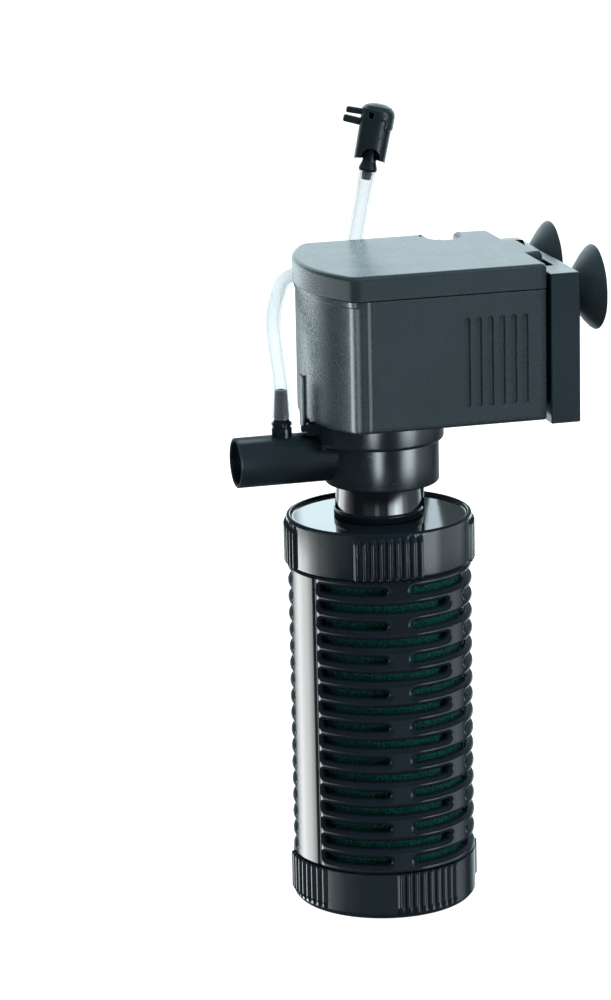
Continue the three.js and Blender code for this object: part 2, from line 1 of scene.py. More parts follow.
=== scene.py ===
import json
import math

import bmesh
import bpy
import numpy as np
from mathutils import Matrix, Vector, noise

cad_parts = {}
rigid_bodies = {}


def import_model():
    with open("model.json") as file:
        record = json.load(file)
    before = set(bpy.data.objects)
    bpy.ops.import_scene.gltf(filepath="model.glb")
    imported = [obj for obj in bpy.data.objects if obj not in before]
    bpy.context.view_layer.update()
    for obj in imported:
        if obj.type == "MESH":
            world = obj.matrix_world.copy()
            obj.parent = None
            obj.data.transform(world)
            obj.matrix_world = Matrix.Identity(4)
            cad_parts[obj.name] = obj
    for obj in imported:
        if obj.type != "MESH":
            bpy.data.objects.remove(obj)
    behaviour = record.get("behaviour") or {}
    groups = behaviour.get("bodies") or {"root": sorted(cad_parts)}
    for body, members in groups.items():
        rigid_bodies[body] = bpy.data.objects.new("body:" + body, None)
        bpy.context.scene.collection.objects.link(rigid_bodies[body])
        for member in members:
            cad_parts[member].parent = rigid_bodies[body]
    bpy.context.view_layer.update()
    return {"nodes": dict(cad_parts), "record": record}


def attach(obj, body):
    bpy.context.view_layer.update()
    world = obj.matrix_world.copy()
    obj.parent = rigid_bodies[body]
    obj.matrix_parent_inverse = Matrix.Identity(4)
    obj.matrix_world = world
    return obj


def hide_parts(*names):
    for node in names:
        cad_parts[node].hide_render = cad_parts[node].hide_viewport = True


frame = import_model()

NODES = frame["nodes"]
MM = 0.001

# ------------------------------------------------------------------ dimensions, millimetres (row frame)
R_CAP, R_BODY = 30.0, 29.9
Z_BOT, Z_TOP, Z_CAP = 15.5, 114.05, 129.4
NECK_R = 13.7
COVER_R, COLLAR_R, VOLUTE_X = 18.5, 21.4, 1.3
Z_COVER, Z_COLLAR, Z_HEAD = 139.9, 153.7, 162.6
PIPE_Z, PIPE_R, PIPE_RI, PIPE_X = 149.4, 8.1, 7.0, -47.3
NIPPLE_X = -31.8
Z_LID, Z_LIDTOP = 205.2, 213.15
HEAD_Y, HEAD_BACK, HEAD_NOSE, LID_NOSE = 31.5, 47.4, -24.5, -25.4
NOSE_R, CORNER_R, WALL = 55.9, 5.0, 2.2
BR_X0, BR_X1, BR_Z0, BR_Z1 = 48.6, 58.4, 161.3, 209.8
RAIL_NECK, RAIL_HEAD, TONGUE_Y = 9.7, 14.0, 11.8
OPEN_X1, OPEN_Y = 54.2, 17.8
CUP_Y, CUP_Z, CUP_R, CUP_X = 21.7, 202.7, 13.6, 66.3
HOSE_R, HOSE_RI = 2.7, 2.0
TILT = math.radians(11.5)
VALVE_AT = np.array([9.3, 35.2, 239.8])


# ------------------------------------------------------------------ materials
def new_mat(name):
    m = bpy.data.materials.new(name)
    m.use_nodes = True
    nt = m.node_tree
    nt.nodes.clear()
    out = nt.nodes.new("ShaderNodeOutputMaterial")
    bsdf = nt.nodes.new("ShaderNodeBsdfPrincipled")
    nt.links.new(bsdf.outputs[0], out.inputs["Surface"])
    return m, nt, bsdf, out


def coord(nt):
    tc = nt.nodes.new("ShaderNodeTexCoord")
    return tc.outputs["Object"]


def noise_node(nt, vec, scale, detail=4.0, rough=0.55, stretch=None):
    if stretch is not None:
        mp = nt.nodes.new("ShaderNodeMapping")
        mp.inputs["Scale"].default_value = stretch
        nt.links.new(vec, mp.inputs["Vector"])
        vec = mp.outputs["Vector"]
    n = nt.nodes.new("ShaderNodeTexNoise")
    n.inputs["Scale"].default_value = scale
    n.inputs["Detail"].default_value = detail
    n.inputs["Roughness"].default_value = rough
    nt.links.new(vec, n.inputs["Vector"])
    return n.outputs["Fac"]


def ramp(nt, fac, stops):
    r = nt.nodes.new("ShaderNodeValToRGB")
    while len(r.color_ramp.elements) < len(stops):
        r.color_ramp.elements.new(0.5)
    for e, (p, c) in zip(r.color_ramp.elements, stops):
        e.position = p
        e.color = c if len(c) == 4 else (*c, 1)
    nt.links.new(fac, r.inputs["Fac"])
    return r.outputs["Color"]


def mapr(nt, val, a0, a1, b0, b1):
    n = nt.nodes.new("ShaderNodeMapRange")
    n.inputs["From Min"].default_value = a0
    n.inputs["From Max"].default_value = a1
    n.inputs["To Min"].default_value = b0
    n.inputs["To Max"].default_value = b1
    nt.links.new(val, n.inputs["Value"])
    return n.outputs["Result"]


def bump(nt, height, strength, dist, prev=None):
    b = nt.nodes.new("ShaderNodeBump")
    b.inputs["Strength"].default_value = strength
    b.inputs["Distance"].default_value = dist
    nt.links.new(height, b.inputs["Height"])
    if prev is not None:
        nt.links.new(prev, b.inputs["Normal"])
    return b.outputs["Normal"]


def math_node(nt, op, a, b=None):
    n = nt.nodes.new("ShaderNodeMath")
    n.operation = op
    for i, v in enumerate((a, b)):
        if v is None:
            continue
        if isinstance(v, (int, float)):
            n.inputs[i].default_value = v
        else:
            nt.links.new(v, n.inputs[i])
    return n.outputs[0]


def edge_wear(nt, radius=0.0007):
    """1 on convex edges, 0 elsewhere, from the difference between a rounded and the true normal."""
    bev = nt.nodes.new("ShaderNodeBevel")
    bev.samples = 4
    bev.inputs["Radius"].default_value = radius
    geo = nt.nodes.new("ShaderNodeNewGeometry")
    dot = nt.nodes.new("ShaderNodeVectorMath")
    dot.operation = "DOT_PRODUCT"
    nt.links.new(bev.outputs[0], dot.inputs[0])
    nt.links.new(geo.outputs["Normal"], dot.inputs[1])
    return mapr(nt, dot.outputs["Value"], 0.999, 0.90, 0.0, 1.0)


def plastic(name, lo, hi, rough, grain=0.0, grain_scale=3000, wave=0.0, spec=0.5, smear=0.17, wear=0.25):
    """Moulded plastic: slow colour drift, spark-eroded grain in bump and roughness, slightly paler worn edges."""
    m, nt, b, out = new_mat(name)
    v = coord(nt)
    drift = noise_node(nt, v, 35, 3)
    col = ramp(nt, drift, [(0.3, lo), (0.7, hi)])
    if wear > 0:
        mix = nt.nodes.new("ShaderNodeMix")
        mix.data_type = "RGBA"
        nt.links.new(math_node(nt, "MULTIPLY", edge_wear(nt), wear), mix.inputs["Factor"])
        nt.links.new(col, mix.inputs["A"])
        mix.inputs["B"].default_value = (hi[0] * 2.2 + 0.02, hi[1] * 2.2 + 0.02, hi[2] * 2.2 + 0.02, 1)
        col = mix.outputs["Result"]
    nt.links.new(col, b.inputs["Base Color"])
    fine = noise_node(nt, v, grain_scale, 2)
    smudge = noise_node(nt, v, 90, 5, 0.6)
    r1 = mapr(nt, smudge, 0.3, 0.7, rough * (1 - smear), min(1.0, rough * (1 + smear)))
    if grain > 0:
        r1 = math_node(nt, "ADD", r1, mapr(nt, fine, 0.3, 0.7, -0.06, 0.06))
    nt.links.new(r1, b.inputs["Roughness"])
    n = None
    if wave > 0:
        n = bump(nt, noise_node(nt, v, 60, 2), 1.0, wave)
    if grain > 0:
        n = bump(nt, fine, 1.0, grain, n)
    if n is not None:
        nt.links.new(n, b.inputs["Normal"])
    b.inputs["Specular IOR Level"].default_value = spec
    return m


M = {}
M["head"] = plastic("head_grained_plastic", (0.0160, 0.0235, 0.0280), (0.0195, 0.0280, 0.033), 0.27, grain=0.00004, grain_scale=2600, wave=0.00003, smear=0.06)
M["nose"] = M["head"]
M["satin"] = plastic("satin_black_plastic", (0.0065, 0.0120, 0.0150), (0.0090, 0.0150, 0.0185), 0.21, grain=0.000014, grain_scale=4200, wave=0.00004)
M["gloss"] = plastic("polished_black_plastic", (0.0035, 0.0065, 0.0095), (0.0055, 0.0090, 0.0125), 0.07, grain=0.0, wave=0.00003, spec=0.5, wear=0.10)
M["valve"] = plastic("valve_black_plastic", (0.0065, 0.0115, 0.014), (0.009, 0.015, 0.018), 0.33, grain=0.00002, grain_scale=4000)
M["core"] = plastic("core_black_plastic", (0.012, 0.012, 0.013), (0.02, 0.02, 0.021), 0.45, grain=0.00002)
M["bobbin"] = plastic("bobbin_nylon", (0.62, 0.56, 0.42), (0.70, 0.64, 0.50), 0.5, grain=0.00002)
M["resin"] = plastic("potting_resin", (0.010, 0.010, 0.011), (0.016, 0.016, 0.018), 0.25, wave=0.0003)
M["impeller"] = plastic("impeller_pom", (0.66, 0.67, 0.65), (0.74, 0.75, 0.73), 0.4, grain=0.00002)
M["ferrite"] = plastic("ferrite_magnet", (0.03, 0.03, 0.033), (0.05, 0.05, 0.055), 0.55, grain=0.00005)
M["ceramic"] = plastic("shaft_ceramic", (0.74, 0.73, 0.70), (0.80, 0.79, 0.76), 0.16)


def rubber(name, lo, hi, rough=0.7, mottle=500, bumpd=0.00003):
    m, nt, b, out = new_mat(name)
    v = coord(nt)
    col = ramp(nt, noise_node(nt, v, 45, 4), [(0.3, lo), (0.72, hi)])
    nt.links.new(col, b.inputs["Base Color"])
    bloom = noise_node(nt, v, 130, 6, 0.65)
    nt.links.new(mapr(nt, bloom, 0.3, 0.75, rough - 0.12, rough + 0.12), b.inputs["Roughness"])
    n = bump(nt, noise_node(nt, v, mottle, 4), 1.0, bumpd)
    n = bump(nt, noise_node(nt, v, 3000, 2), 1.0, bumpd * 0.4, n)
    nt.links.new(n, b.inputs["Normal"])
    b.inputs["Specular IOR Level"].default_value = 0.45
    b.inputs["Sheen Weight"].default_value = 0.25
    b.inputs["Sheen Roughness"].default_value = 0.4
    b.inputs["Sheen Tint"].default_value = (0.55, 0.62, 0.66, 1)
    return m


M["rubber"] = rubber("cup_rubber", (0.010, 0.017, 0.020), (0.017, 0.026, 0.030), 0.46)
M["seal"] = rubber("seal_rubber", (0.010, 0.010, 0.010), (0.02, 0.02, 0.02), 0.55)
M["cable"] = rubber("cable_jacket", (0.010, 0.011, 0.012), (0.016, 0.017, 0.018), 0.42, 900, 0.00001)


def sponge_mat():
    m, nt, b, out = new_mat("sponge_foam")
    v = coord(nt)
    vor = nt.nodes.new("ShaderNodeTexVoronoi")
    vor.inputs["Scale"].default_value = 1150
    nt.links.new(v, vor.inputs["Vector"])
    big = noise_node(nt, v, 160, 5, 0.6)
    # colour follows the Voronoi distance: the cell centres, which are the pits of the bump below, go nearly black, and
    # that is painted shade in the pores; the large-noise mix after it is tone variation
    col = ramp(nt, vor.outputs["Distance"], [(0.0, (0.001, 0.008, 0.006)), (0.28, (0.002, 0.038, 0.032)), (0.62, (0.006, 0.115, 0.092))])
    mix = nt.nodes.new("ShaderNodeMix")
    mix.data_type = "RGBA"
    nt.links.new(mapr(nt, big, 0.35, 0.7, 0.0, 0.55), mix.inputs["Factor"])
    nt.links.new(col, mix.inputs["A"])
    mix.inputs["B"].default_value = (0.003, 0.055, 0.046, 1)
    nt.links.new(mix.outputs["Result"], b.inputs["Base Color"])
    b.inputs["Roughness"].default_value = 0.9
    b.inputs["Sheen Weight"].default_value = 0.3
    b.inputs["Sheen Tint"].default_value = (0.3, 0.8, 0.7, 1)
    n = bump(nt, vor.outputs["Distance"], 1.0, 0.0006)
    n = bump(nt, noise_node(nt, v, 2400, 4, 0.7), 0.8, 0.0003, n)
    nt.links.new(n, b.inputs["Normal"])
    return m


M["sponge"] = sponge_mat()


def hose_mat():
    """Clear soft PVC with a faint milky bloom: mostly straight-through, a little scattering in each wall."""
    m, nt, b, out = new_mat("clear_pvc_hose")
    v = coord(nt)
    cloud = noise_node(nt, v, 240, 4)
    nt.links.new(ramp(nt, cloud, [(0.3, (0.74, 0.79, 0.81)), (0.7, (0.82, 0.86, 0.87))]), b.inputs["Base Color"])
    nt.links.new(mapr(nt, cloud, 0.3, 0.7, 0.16, 0.28), b.inputs["Roughness"])
    nt.links.new(bump(nt, noise_node(nt, v, 160, 2), 1.0, 0.00002), b.inputs["Normal"])
    tr = nt.nodes.new("ShaderNodeBsdfTransparent")
    tr.inputs["Color"].default_value = (0.918, 0.936, 0.942, 1)
    lw = nt.nodes.new("ShaderNodeLayerWeight")
    lw.inputs["Blend"].default_value = 0.30
    ms = nt.nodes.new("ShaderNodeMixShader")
    nt.links.new(mapr(nt, lw.outputs["Facing"], 0.0, 1.0, 0.035, 0.40), ms.inputs[0])
    nt.links.new(tr.outputs[0], ms.inputs[1])
    nt.links.new(b.outputs[0], ms.inputs[2])
    nt.links.new(ms.outputs[0], out.inputs["Surface"])
    return m


M["hose"] = hose_mat()


def metal(name, c0, c1, rough, stretch, scale, bumpd):
    m, nt, b, out = new_mat(name)
    v = coord(nt)
    lines = noise_node(nt, v, scale, 3, 0.6, stretch)
    nt.links.new(ramp(nt, lines, [(0.3, c0), (0.7, c1)]), b.inputs["Base Color"])
    b.inputs["Metallic"].default_value = 1.0
    nt.links.new(mapr(nt, lines, 0.3, 0.7, rough - 0.08, rough + 0.1), b.inputs["Roughness"])
    nt.links.new(bump(nt, lines, 1.0, bumpd), b.inputs["Normal"])
    return m


M["steel"] = metal("laminated_steel", (0.30, 0.30, 0.31), (0.46, 0.46, 0.48), 0.42, (0.1, 0.1, 12), 220, 0.0002)
M["copper"] = metal("enamelled_copper", (0.42, 0.14, 0.05), (0.66, 0.27, 0.10), 0.3, (0.3, 14, 0.3), 160, 0.0003)

CAD_MATS = {
    "motor_housing": "head", "motor_lid": "head", "housing_collar": "satin", "pump_cover": "satin", "bracket": "satin",
    "top_cap": "gloss", "bottom_cap": "gloss", "strainer_body": "gloss", "intake_neck": "gloss", "air_nipple": "gloss",
    "air_valve_stem": "valve", "air_valve_cap": "valve", "sponge_core": "core", "filter_sponge": "sponge",
    "air_hose": "hose", "suction_cup_near": "rubber", "suction_cup_far": "rubber", "cable_grommet": "seal",
    "cover_o_ring": "seal", "neck_o_ring": "seal", "upper_shaft_bush": "seal", "lower_shaft_bush": "seal",
    "power_cable": "cable", "stator_core": "steel", "coil_bobbin": "bobbin", "coil_winding": "copper",
    "potting_resin": "resin", "rotor_magnet": "ferrite", "impeller": "impeller", "rotor_shaft": "ceramic",
}
BODY_OF = {n: b for b, ns in frame["record"]["behaviour"]["bodies"].items() for n in ns}
for node, key in CAD_MATS.items():
    me = NODES[node].data
    me.materials.clear()
    me.materials.append(M[key])


# ------------------------------------------------------------------ mesh helpers
def obj_from(name, verts, faces, mat, node=None, body=None, sharp=35.0, smooth=True, xf=None, merge=0.0):
    v = np.asarray(verts, float)
    if xf is not None:
        v = v @ np.asarray(xf)[:3, :3].T + np.asarray(xf)[:3, 3]
    me = bpy.data.meshes.new(name)
    me.from_pydata((v * MM).tolist(), [], [list(map(int, f)) for f in faces])
    me.validate()
    bm = bmesh.new()
    bm.from_mesh(me)
    if merge > 0:
        bmesh.ops.remove_doubles(bm, verts=bm.verts, dist=merge * MM)
    bmesh.ops.recalc_face_normals(bm, faces=bm.faces)
    bm.to_mesh(me)
    bm.free()
    if smooth:
        me.shade_smooth()
        if sharp is not None:
            me.set_sharp_from_angle(angle=math.radians(sharp))
    me.materials.append(mat)
    o = bpy.data.objects.new(name, me)
    bpy.context.scene.collection.objects.link(o)
    if node:
        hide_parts(node)
        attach(o, body or BODY_OF[node])
    elif body:
        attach(o, body)
    return o


def smooth_corners(pts, n=5):
    """pts: (r, z, radius). Rounds each corner of an open polyline with an arc of its radius."""
    out = []
    P = [np.array(p[:2], float) for p in pts]
    for i, p in enumerate(P):
        rad = pts[i][2] if len(pts[i]) > 2 else 0.0
        if i == 0 or i == len(P) - 1 or rad <= 0:
            out.append(p)
            continue
        a, b = P[i - 1] - p, P[i + 1] - p
        la, lb = np.linalg.norm(a), np.linalg.norm(b)
        a, b = a / la, b / lb
        ang = math.acos(max(-1, min(1, float(a @ b))))
        if ang > math.pi - 1e-3:
            out.append(p)
            continue
        t = min(rad / math.tan(ang / 2), la * 0.48, lb * 0.48)
        r = t * math.tan(ang / 2)
        c = p + (a + b) / np.linalg.norm(a + b) * (r / math.sin(ang / 2))
        s, e = p + a * t - c, p + b * t - c
        t0, t1 = math.atan2(s[1], s[0]), math.atan2(e[1], e[0])
        d = (t1 - t0 + math.pi) % (2 * math.pi) - math.pi
        for k in range(n + 1):
            th = t0 + d * k / n
            out.append(c + r * np.array([math.cos(th), math.sin(th)]))
    return np.array(out)


def revolve(profile, n, closed=True):
    """Profile (r, z) turned about Z. Points on the axis become single vertices; closed joins last to first."""
    verts, faces, rings = [], [], []
    ang = np.linspace(0, 2 * math.pi, n, endpoint=False)
    for r, z in profile:
        if abs(r) < 1e-9:
            rings.append([len(verts)])
            verts.append((0, 0, z))
        else:
            base = len(verts)
            rings.append(list(range(base, base + n)))
            verts.extend(zip(r * np.cos(ang), r * np.sin(ang), np.full(n, z)))
    pairs = list(zip(rings[:-1], rings[1:]))
    if closed and len(rings[0]) > 1 and len(rings[-1]) > 1:
        pairs.append((rings[-1], rings[0]))
    for a, b in pairs:
        if len(a) == 1 and len(b) == 1:
            continue
        for i in range(n):
            j = (i + 1) % n
            if len(a) == 1:
                faces.append((a[0], b[j], b[i]))
            elif len(b) == 1:
                faces.append((a[i], a[j], b[0]))
            else:
                faces.append((a[i], a[j], b[j], b[i]))
    return np.array(verts), faces


def axis_x(y=0.0, z=0.0):
    """Turns local Z into +X, then moves."""
    m = np.eye(4)
    m[:3, :3] = np.array([[0, 0, 1], [0, 1, 0], [-1, 0, 0]])
    m[:3, 3] = (0, y, z)
    return m


def valve_xf():
    m = np.eye(4)
    c, s = math.cos(TILT), math.sin(TILT)
    m[:3, :3] = np.array([[c, 0, s], [0, 1, 0], [-s, 0, c]])
    m[:3, 3] = VALVE_AT
    return m


def raw_obj(name, verts, faces, xf=None):
    v = np.asarray(verts, float)
    if xf is not None:
        v = v @ np.asarray(xf)[:3, :3].T + np.asarray(xf)[:3, 3]
    me = bpy.data.meshes.new(name)
    me.from_pydata((v * MM).tolist(), [], [list(map(int, f)) for f in faces])
    me.validate()
    bm = bmesh.new()
    bm.from_mesh(me)
    bmesh.ops.recalc_face_normals(bm, faces=bm.faces)
    bm.to_mesh(me)
    bm.free()
    o = bpy.data.objects.new(name, me)
    bpy.context.scene.collection.objects.link(o)
    return o


def boolean(base, ops, name, mat, node=None, body=None, sharp=30.0, bevel=0.0, seg=2):
    """ops: [(kind, object)], applied in order; the tools are removed and the result is baked into one mesh."""
    for kind, tool in ops:
        md = base.modifiers.new("b", "BOOLEAN")
        md.operation = kind
        md.object = tool
        md.solver = "EXACT"
    if bevel > 0:
        md = base.modifiers.new("v", "BEVEL")
        md.width = bevel * MM
        md.segments = seg
        md.limit_method = "ANGLE"
        md.angle_limit = math.radians(38)
        md.miter_outer = "MITER_ARC"
        md.use_clamp_overlap = True
    dg = bpy.context.evaluated_depsgraph_get()
    me = bpy.data.meshes.new_from_object(base.evaluated_get(dg))
    me.name = name
    for _, tool in ops:
        bpy.data.objects.remove(tool)
    bpy.data.objects.remove(base)
    bm = bmesh.new()
    bm.from_mesh(me)
    bmesh.ops.remove_doubles(bm, verts=bm.verts, dist=0.002 * MM)
    bmesh.ops.dissolve_degenerate(bm, edges=bm.edges, dist=0.002 * MM)
    bm.to_mesh(me)
    bm.free()
    me.materials.clear()
    me.materials.append(mat)
    me.shade_smooth()
    me.set_sharp_from_angle(angle=math.radians(sharp))
    o = bpy.data.objects.new(name, me)
    bpy.context.scene.collection.objects.link(o)
    if node:
        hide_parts(node)
        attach(o, body or BODY_OF[node])
    elif body:
        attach(o, body)
    return o


def weighted(o):
    md = o.modifiers.new("wn", "WEIGHTED_NORMAL")
    md.weight = 60
    md.keep_sharp = True
    return o


def lathe_piece(name, pts, mat, node=None, body=None, n=128, xf=None, closed=True, sharp=40.0, arcs=5):
    v, f = revolve(smooth_corners(pts, arcs), n, closed)
    return obj_from(name, v, f, mat, node, body, sharp=sharp, xf=xf)


def lathe_raw(name, pts, n=96, xf=None, closed=True, arcs=4):
    v, f = revolve(smooth_corners(pts, arcs), n, closed)
    return raw_obj(name, v, f, xf)


def box_raw(name, x0, x1, y0, y1, z0, z1, r=0.0, seg=3, xf=None):
    bm = bmesh.new()
    bmesh.ops.create_cube(bm, size=1.0)
    for v in bm.verts:
        v.co = Vector(((x0 + x1) / 2 + v.co.x * (x1 - x0), (y0 + y1) / 2 + v.co.y * (y1 - y0), (z0 + z1) / 2 + v.co.z * (z1 - z0)))
    if r > 0:
        bmesh.ops.bevel(bm, geom=list(bm.edges) + list(bm.verts), offset=r, segments=seg, profile=0.5, affect="EDGES")
    verts = np.array([v.co for v in bm.verts])
    bm.verts.ensure_lookup_table()
    faces = [[v.index for v in f.verts] for f in bm.faces]
    bm.free()
    return raw_obj(name, verts, faces, xf)


def smoothstep(x, a, b):
    t = np.clip((np.asarray(x, float) - a) / (b - a), 0, 1)
    return t * t * (3 - 2 * t)


# ------------------------------------------------------------------ ribbed caps
RIB_PITCH, RIBS = 5.0, 9


def rib_height(theta, first):
    """Height of the grip ribs, 0 to 1, at angle theta in degrees."""
    h = np.zeros_like(theta)
    half = (RIBS - 1) / 2 * RIB_PITCH
    for k in range(4):
        c = first + 90 * k
        d = (theta - c + 180) % 360 - 180
        inside = np.abs(d) <= half + RIB_PITCH / 2
        ph = ((d + half + RIB_PITCH / 2) % RIB_PITCH) - RIB_PITCH / 2
        bar = 1 - smoothstep(np.abs(ph), 0.35, 2.1)
        h = np.where(inside, np.maximum(h, bar), h)
    return h


def cap_mesh(name, outer, inner, first, rib_z0, rib_z1, fade0, fade1, node):
    """outer and inner: dense (r, z) profiles from the bottom up and back down, forming one closed skin."""
    half = (RIBS - 1) / 2 * RIB_PITCH + RIB_PITCH / 2
    ang = []
    for k in range(4):
        c = first + 90 * k
        ang += list(np.arange(c - half - 0.5, c + half + 0.51, 0.42))
        ang += list(np.arange(c + half + 1.6, c + 90 - half - 1.2, 1.6))
    ang = np.array(sorted(a % 360 for a in ang))
    keep = np.concatenate([[True], np.diff(ang) > 0.15])
    ang = ang[keep]
    n = len(ang)
    h = rib_height(ang, first)
    prof = list(outer) + list(inner)
    verts, faces, rings = [], [], []
    ca, sa = np.cos(np.radians(ang)), np.sin(np.radians(ang))
    for i, (r, z) in enumerate(prof):
        if r < 1e-9:
            rings.append([len(verts)])
            verts.append((0, 0, z))
            continue
        rr = np.full(n, r)
        if i < len(outer) and r > R_CAP - 1.6:
            w = smoothstep(z, rib_z0, rib_z0 + fade0) * (1 - smoothstep(z, rib_z1 - fade1, rib_z1)) if fade1 > 0 else smoothstep(z, rib_z0, rib_z0 + fade0)
            rr = rr + h * w * 1.0 - (1 - h) * w * 0.12 * (rib_height(ang, first + 0) >= 0) * (rib_zone(ang, first))
        base = len(verts)
        rings.append(list(range(base, base + n)))
        verts.extend(zip(rr * ca, rr * sa, np.full(n, z)))
    for a, b in zip(rings[:-1], rings[1:]):
        if len(a) == 1 and len(b) == 1:
            continue
        for i in range(n):
            j = (i + 1) % n
            if len(a) == 1:
                faces.append((a[0], b[j], b[i]))
            elif len(b) == 1:
                faces.append((a[i], a[j], b[0]))
            else:
                faces.append((a[i], a[j], b[j], b[i]))
    if len(rings[0]) > 1 and len(rings[-1]) > 1:
        a, b = rings[-1], rings[0]
        faces += [(a[i], a[(i + 1) % n], b[(i + 1) % n], b[i]) for i in range(n)]
    return obj_from(name, verts, faces, M["gloss"], node, sharp=50)


def rib_zone(theta, first):
    half = (RIBS - 1) / 2 * RIB_PITCH + RIB_PITCH / 2
    z = np.zeros_like(theta)
    for k in range(4):
        d = (theta - first - 90 * k + 180) % 360 - 180
        z = np.maximum(z, 1 - smoothstep(np.abs(d), half - 1.0, half))
    return z


def dense(profile, step):
    """Adds points along long segments so that the ribs' ends have somewhere to bend."""
    out = [np.array(profile[0], float)]
    for p in profile[1:]:
        p = np.array(p, float)
        k = max(1, int(math.ceil(np.linalg.norm(p - out[-1]) / step)))
        a = out[-1]
        for i in range(1, k + 1):
            out.append(a + (p - a) * i / k)
    return out


# bottom cap: rounded base edge, ribs from just above the edge to the rim
outer = smooth_corners([(0, 0), (28.7, 0, 1.5), (30, 1.55, 0.9), (30, Z_BOT, 0.35), (28.2, Z_BOT)], 6)
outer = [outer[0]] + dense(outer[1:], 0.6)
inner = smooth_corners([(28.2, Z_BOT - 0.05), (28.2, 13.1), (29.15, 13.0), (29.15, 10.6), (28.2, 10.5), (28.2, 2.2, 1.0), (0, 2.2)], 4)
cap_mesh("bottom_cap_shell", outer, inner, -76.5, 2.2, 99, 1.6, 0, "bottom_cap")

# top cap: ribs with rounded tops, raised rim round a sunk glossy plate with a hole for the neck
outer = smooth_corners([(28.2, Z_TOP), (30, Z_TOP, 0.35), (30, Z_CAP - 0.05, 1.1), (28.75, Z_CAP, 0.5), (28.2, Z_CAP - 1.0, 0.5), (12.9, Z_CAP - 1.0, 0.3), (12.6, Z_CAP - 1.3)], 6)
outer = dense(outer, 0.55)
inner = smooth_corners([(12.6, Z_CAP - 3.0), (28.2, Z_CAP - 3.0, 1.0), (28.2, 119.1), (29.15, 119.0), (29.15, 116.6), (28.2, 116.5), (28.2, Z_TOP + 0.05)], 4)
cap_mesh("top_cap_shell", outer, inner, -100.0, Z_TOP - 5, Z_CAP - 1.35, 1.0, 1.5, "top_cap")


